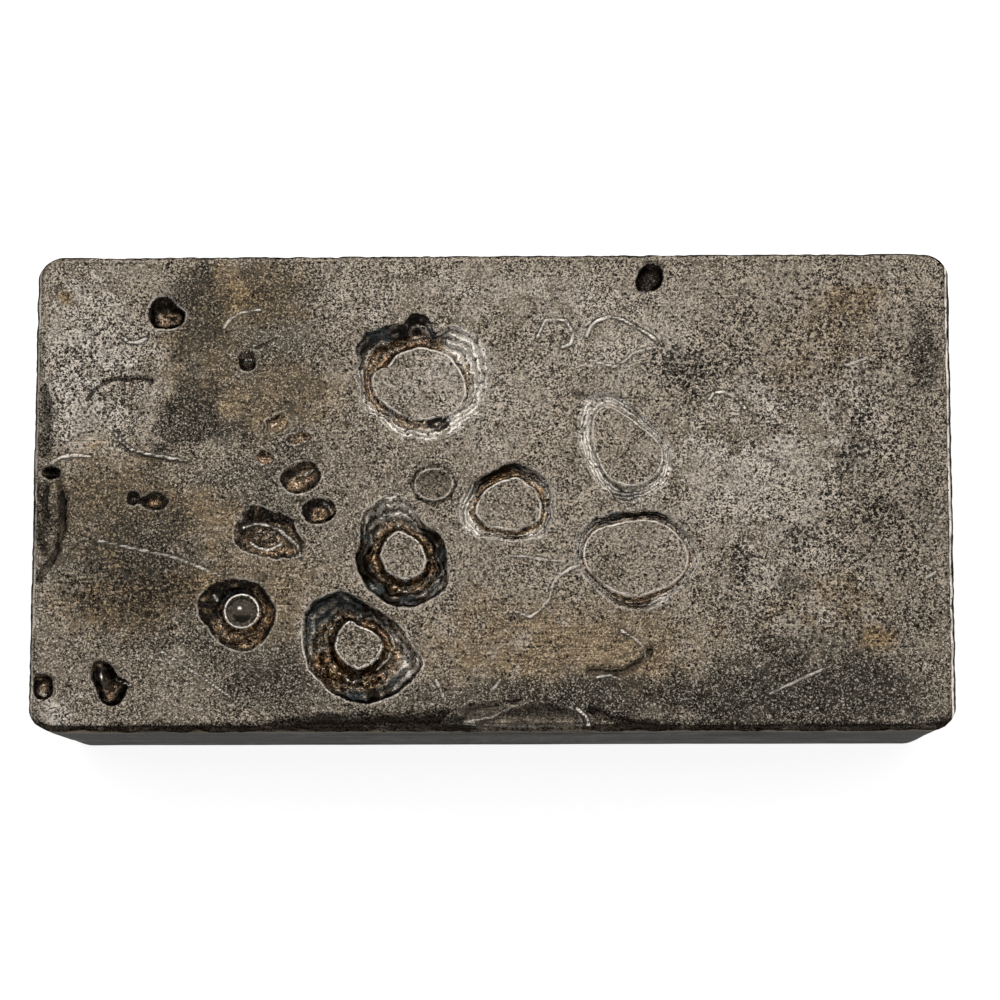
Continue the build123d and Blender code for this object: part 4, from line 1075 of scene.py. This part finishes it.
class INGOT_OT_cast_bar(bpy.types.Operator):
    """Casts the bar with its hollows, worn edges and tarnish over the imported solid."""

    bl_idname = "ingot.cast_bar"
    bl_label = "Cast Bar"
    bl_options = {"REGISTER", "UNDO"}

    def execute(self, context):
        scene = context.scene
        points, faces, marks = cast_mesh(scene.ingot_sizes)
        mesh = bpy.data.meshes.new("ingot_casting")
        mesh.from_pydata(points.tolist(), [], faces)
        if mesh.validate():
            raise RuntimeError("the casting has broken faces")
        for name, values in marks.items():
            mesh.attributes.new(name, "FLOAT", "POINT").data.foreach_set("value", values.astype(np.float32))
        mesh.shade_smooth()
        mesh.materials.append(tarnished_metal(scene.ingot_finish))
        casting = bpy.data.objects.new("ingot_casting", mesh)
        scene.collection.objects.link(casting)
        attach(casting, "root")
        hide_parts("ingot")
        return {"FINISHED"}


class INGOT_OT_set_stage(bpy.types.Operator):
    """Sets the pale floor, the soft lamps and the camera."""

    bl_idname = "ingot.set_stage"
    bl_label = "Set Stage"
    bl_options = {"REGISTER", "UNDO"}

    def execute(self, context):
        scene = context.scene
        stage = scene.ingot_stage
        self.lay_floor(scene, stage)
        self.hang_lamps(scene, stage)
        self.place_camera(scene, stage)
        scene.view_settings.view_transform = "Standard"
        return {"FINISHED"}

    def lay_floor(self, scene, stage):
        half = stage.floor_size / 2
        mesh = bpy.data.meshes.new("pale_floor")
        mesh.from_pydata([(-half, -half, 0), (half, -half, 0), (half, half, 0), (-half, half, 0)], [], [(0, 1, 2, 3)])
        material = bpy.data.materials.new("pale_floor")
        material.use_nodes = True
        tree = material.node_tree
        tree.nodes.clear()
        shade = stage.floor_shade
        matt = put(tree, "ShaderNodeBsdfDiffuse", {"Color": (shade, shade, shade, 1)})
        path = put(tree, "ShaderNodeLightPath")
        seen = sum_of(tree, "MAXIMUM", path.outputs["Is Camera Ray"], path.outputs["Is Glossy Ray"])
        seen = sum_of(tree, "MAXIMUM", seen, path.outputs["Is Transmission Ray"])
        glow = put(tree, "ShaderNodeEmission", {"Strength": sum_of(tree, "MULTIPLY", seen, stage.floor_glow)})
        both = put(tree, "ShaderNodeAddShader", {0: matt.outputs[0], 1: glow.outputs[0]})
        put(tree, "ShaderNodeOutputMaterial", {"Surface": both.outputs[0]})
        mesh.materials.append(material)
        floor = bpy.data.objects.new("pale_floor", mesh)
        scene.collection.objects.link(floor)

    def hang_lamps(self, scene, stage):
        boxes = (
            ("overhead_box", (0.0, 0.42, 0.62), (0.0, 0.16, 0.03), 1.25, 1.05, stage.box_power),
            ("back_box", (0.0, 1.25, 0.35), (0.0, 0.0, 0.10), 1.60, 0.60, stage.back_power),
            ("right_box", (1.25, 0.0, 0.40), (0.0, 0.0, 0.10), 1.20, 0.60, stage.right_power),
            ("left_box", (-1.25, 0.0, 0.40), (0.0, 0.0, 0.10), 1.20, 0.60, stage.left_power),
            ("front_box", (0.0, -1.25, 0.50), (0.0, 0.0, 0.10), 1.60, 0.80, stage.front_power),
        )
        for name, at, aim, wide, tall, power in boxes:
            lamp = bpy.data.lights.new(name, "AREA")
            lamp.shape = "RECTANGLE"
            lamp.size, lamp.size_y = wide, tall
            lamp.energy = power
            box = bpy.data.objects.new(name, lamp)
            box.location = at
            box.rotation_euler = (Vector(aim) - box.location).to_track_quat("-Z", "Y").to_euler()
            box.visible_camera = False
            scene.collection.objects.link(box)
        world = bpy.data.worlds.new("plain_room")
        world.use_nodes = True
        world.node_tree.nodes["Background"].inputs["Color"].default_value = (1, 1, 1, 1)
        world.node_tree.nodes["Background"].inputs["Strength"].default_value = stage.room
        scene.world = world

    def place_camera(self, scene, stage):
        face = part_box("ingot")[1].z
        eye = Vector((0.0180, -0.1394, face + 0.6704))
        ahead = (Vector((0.00126, -0.00153, face)) - eye).normalized()
        right = (Vector((1, 0, 0)) - ahead * ahead.x).normalized()
        right = Matrix.Rotation(-stage.roll, 3, ahead) @ right
        up = right.cross(ahead)
        lens = bpy.data.cameras.new("camera")
        lens.sensor_width = 36.0
        lens.lens = stage.lens
        lens.clip_end = 50.0
        camera = bpy.data.objects.new("camera", lens)
        camera.matrix_world = Matrix((
            (right.x, up.x, -ahead.x, eye.x),
            (right.y, up.y, -ahead.y, eye.y),
            (right.z, up.z, -ahead.z, eye.z),
            (0, 0, 0, 1),
        ))
        scene.collection.objects.link(camera)
        scene.camera = camera


class INGOT_PT_panel(bpy.types.Panel):
    """Sizes, colours and steps of the ingot."""

    bl_label = "Ingot"
    bl_idname = "INGOT_PT_panel"
    bl_space_type = "VIEW_3D"
    bl_region_type = "UI"
    bl_category = "Ingot"

    def draw(self, context):
        scene = context.scene
        for group, step in ((scene.ingot_sizes, None), (scene.ingot_finish, "ingot.cast_bar"), (scene.ingot_stage, "ingot.set_stage")):
            column = self.layout.column()
            for name in type(group).__annotations__:
                column.prop(group, name)
            if step:
                column.operator(step)


CLASSES = (IngotSizes, IngotFinish, IngotStage, INGOT_OT_cast_bar, INGOT_OT_set_stage, INGOT_PT_panel)


def register():
    for cls in CLASSES:
        bpy.utils.register_class(cls)
    bpy.types.Scene.ingot_sizes = PointerProperty(type=IngotSizes)
    bpy.types.Scene.ingot_finish = PointerProperty(type=IngotFinish)
    bpy.types.Scene.ingot_stage = PointerProperty(type=IngotStage)


def unregister():
    del bpy.types.Scene.ingot_sizes
    del bpy.types.Scene.ingot_finish
    del bpy.types.Scene.ingot_stage
    for cls in reversed(CLASSES):
        bpy.utils.unregister_class(cls)


def main():
    register()
    bpy.ops.ingot.cast_bar()
    bpy.ops.ingot.set_stage()


if __name__ == "__main__":
    main()
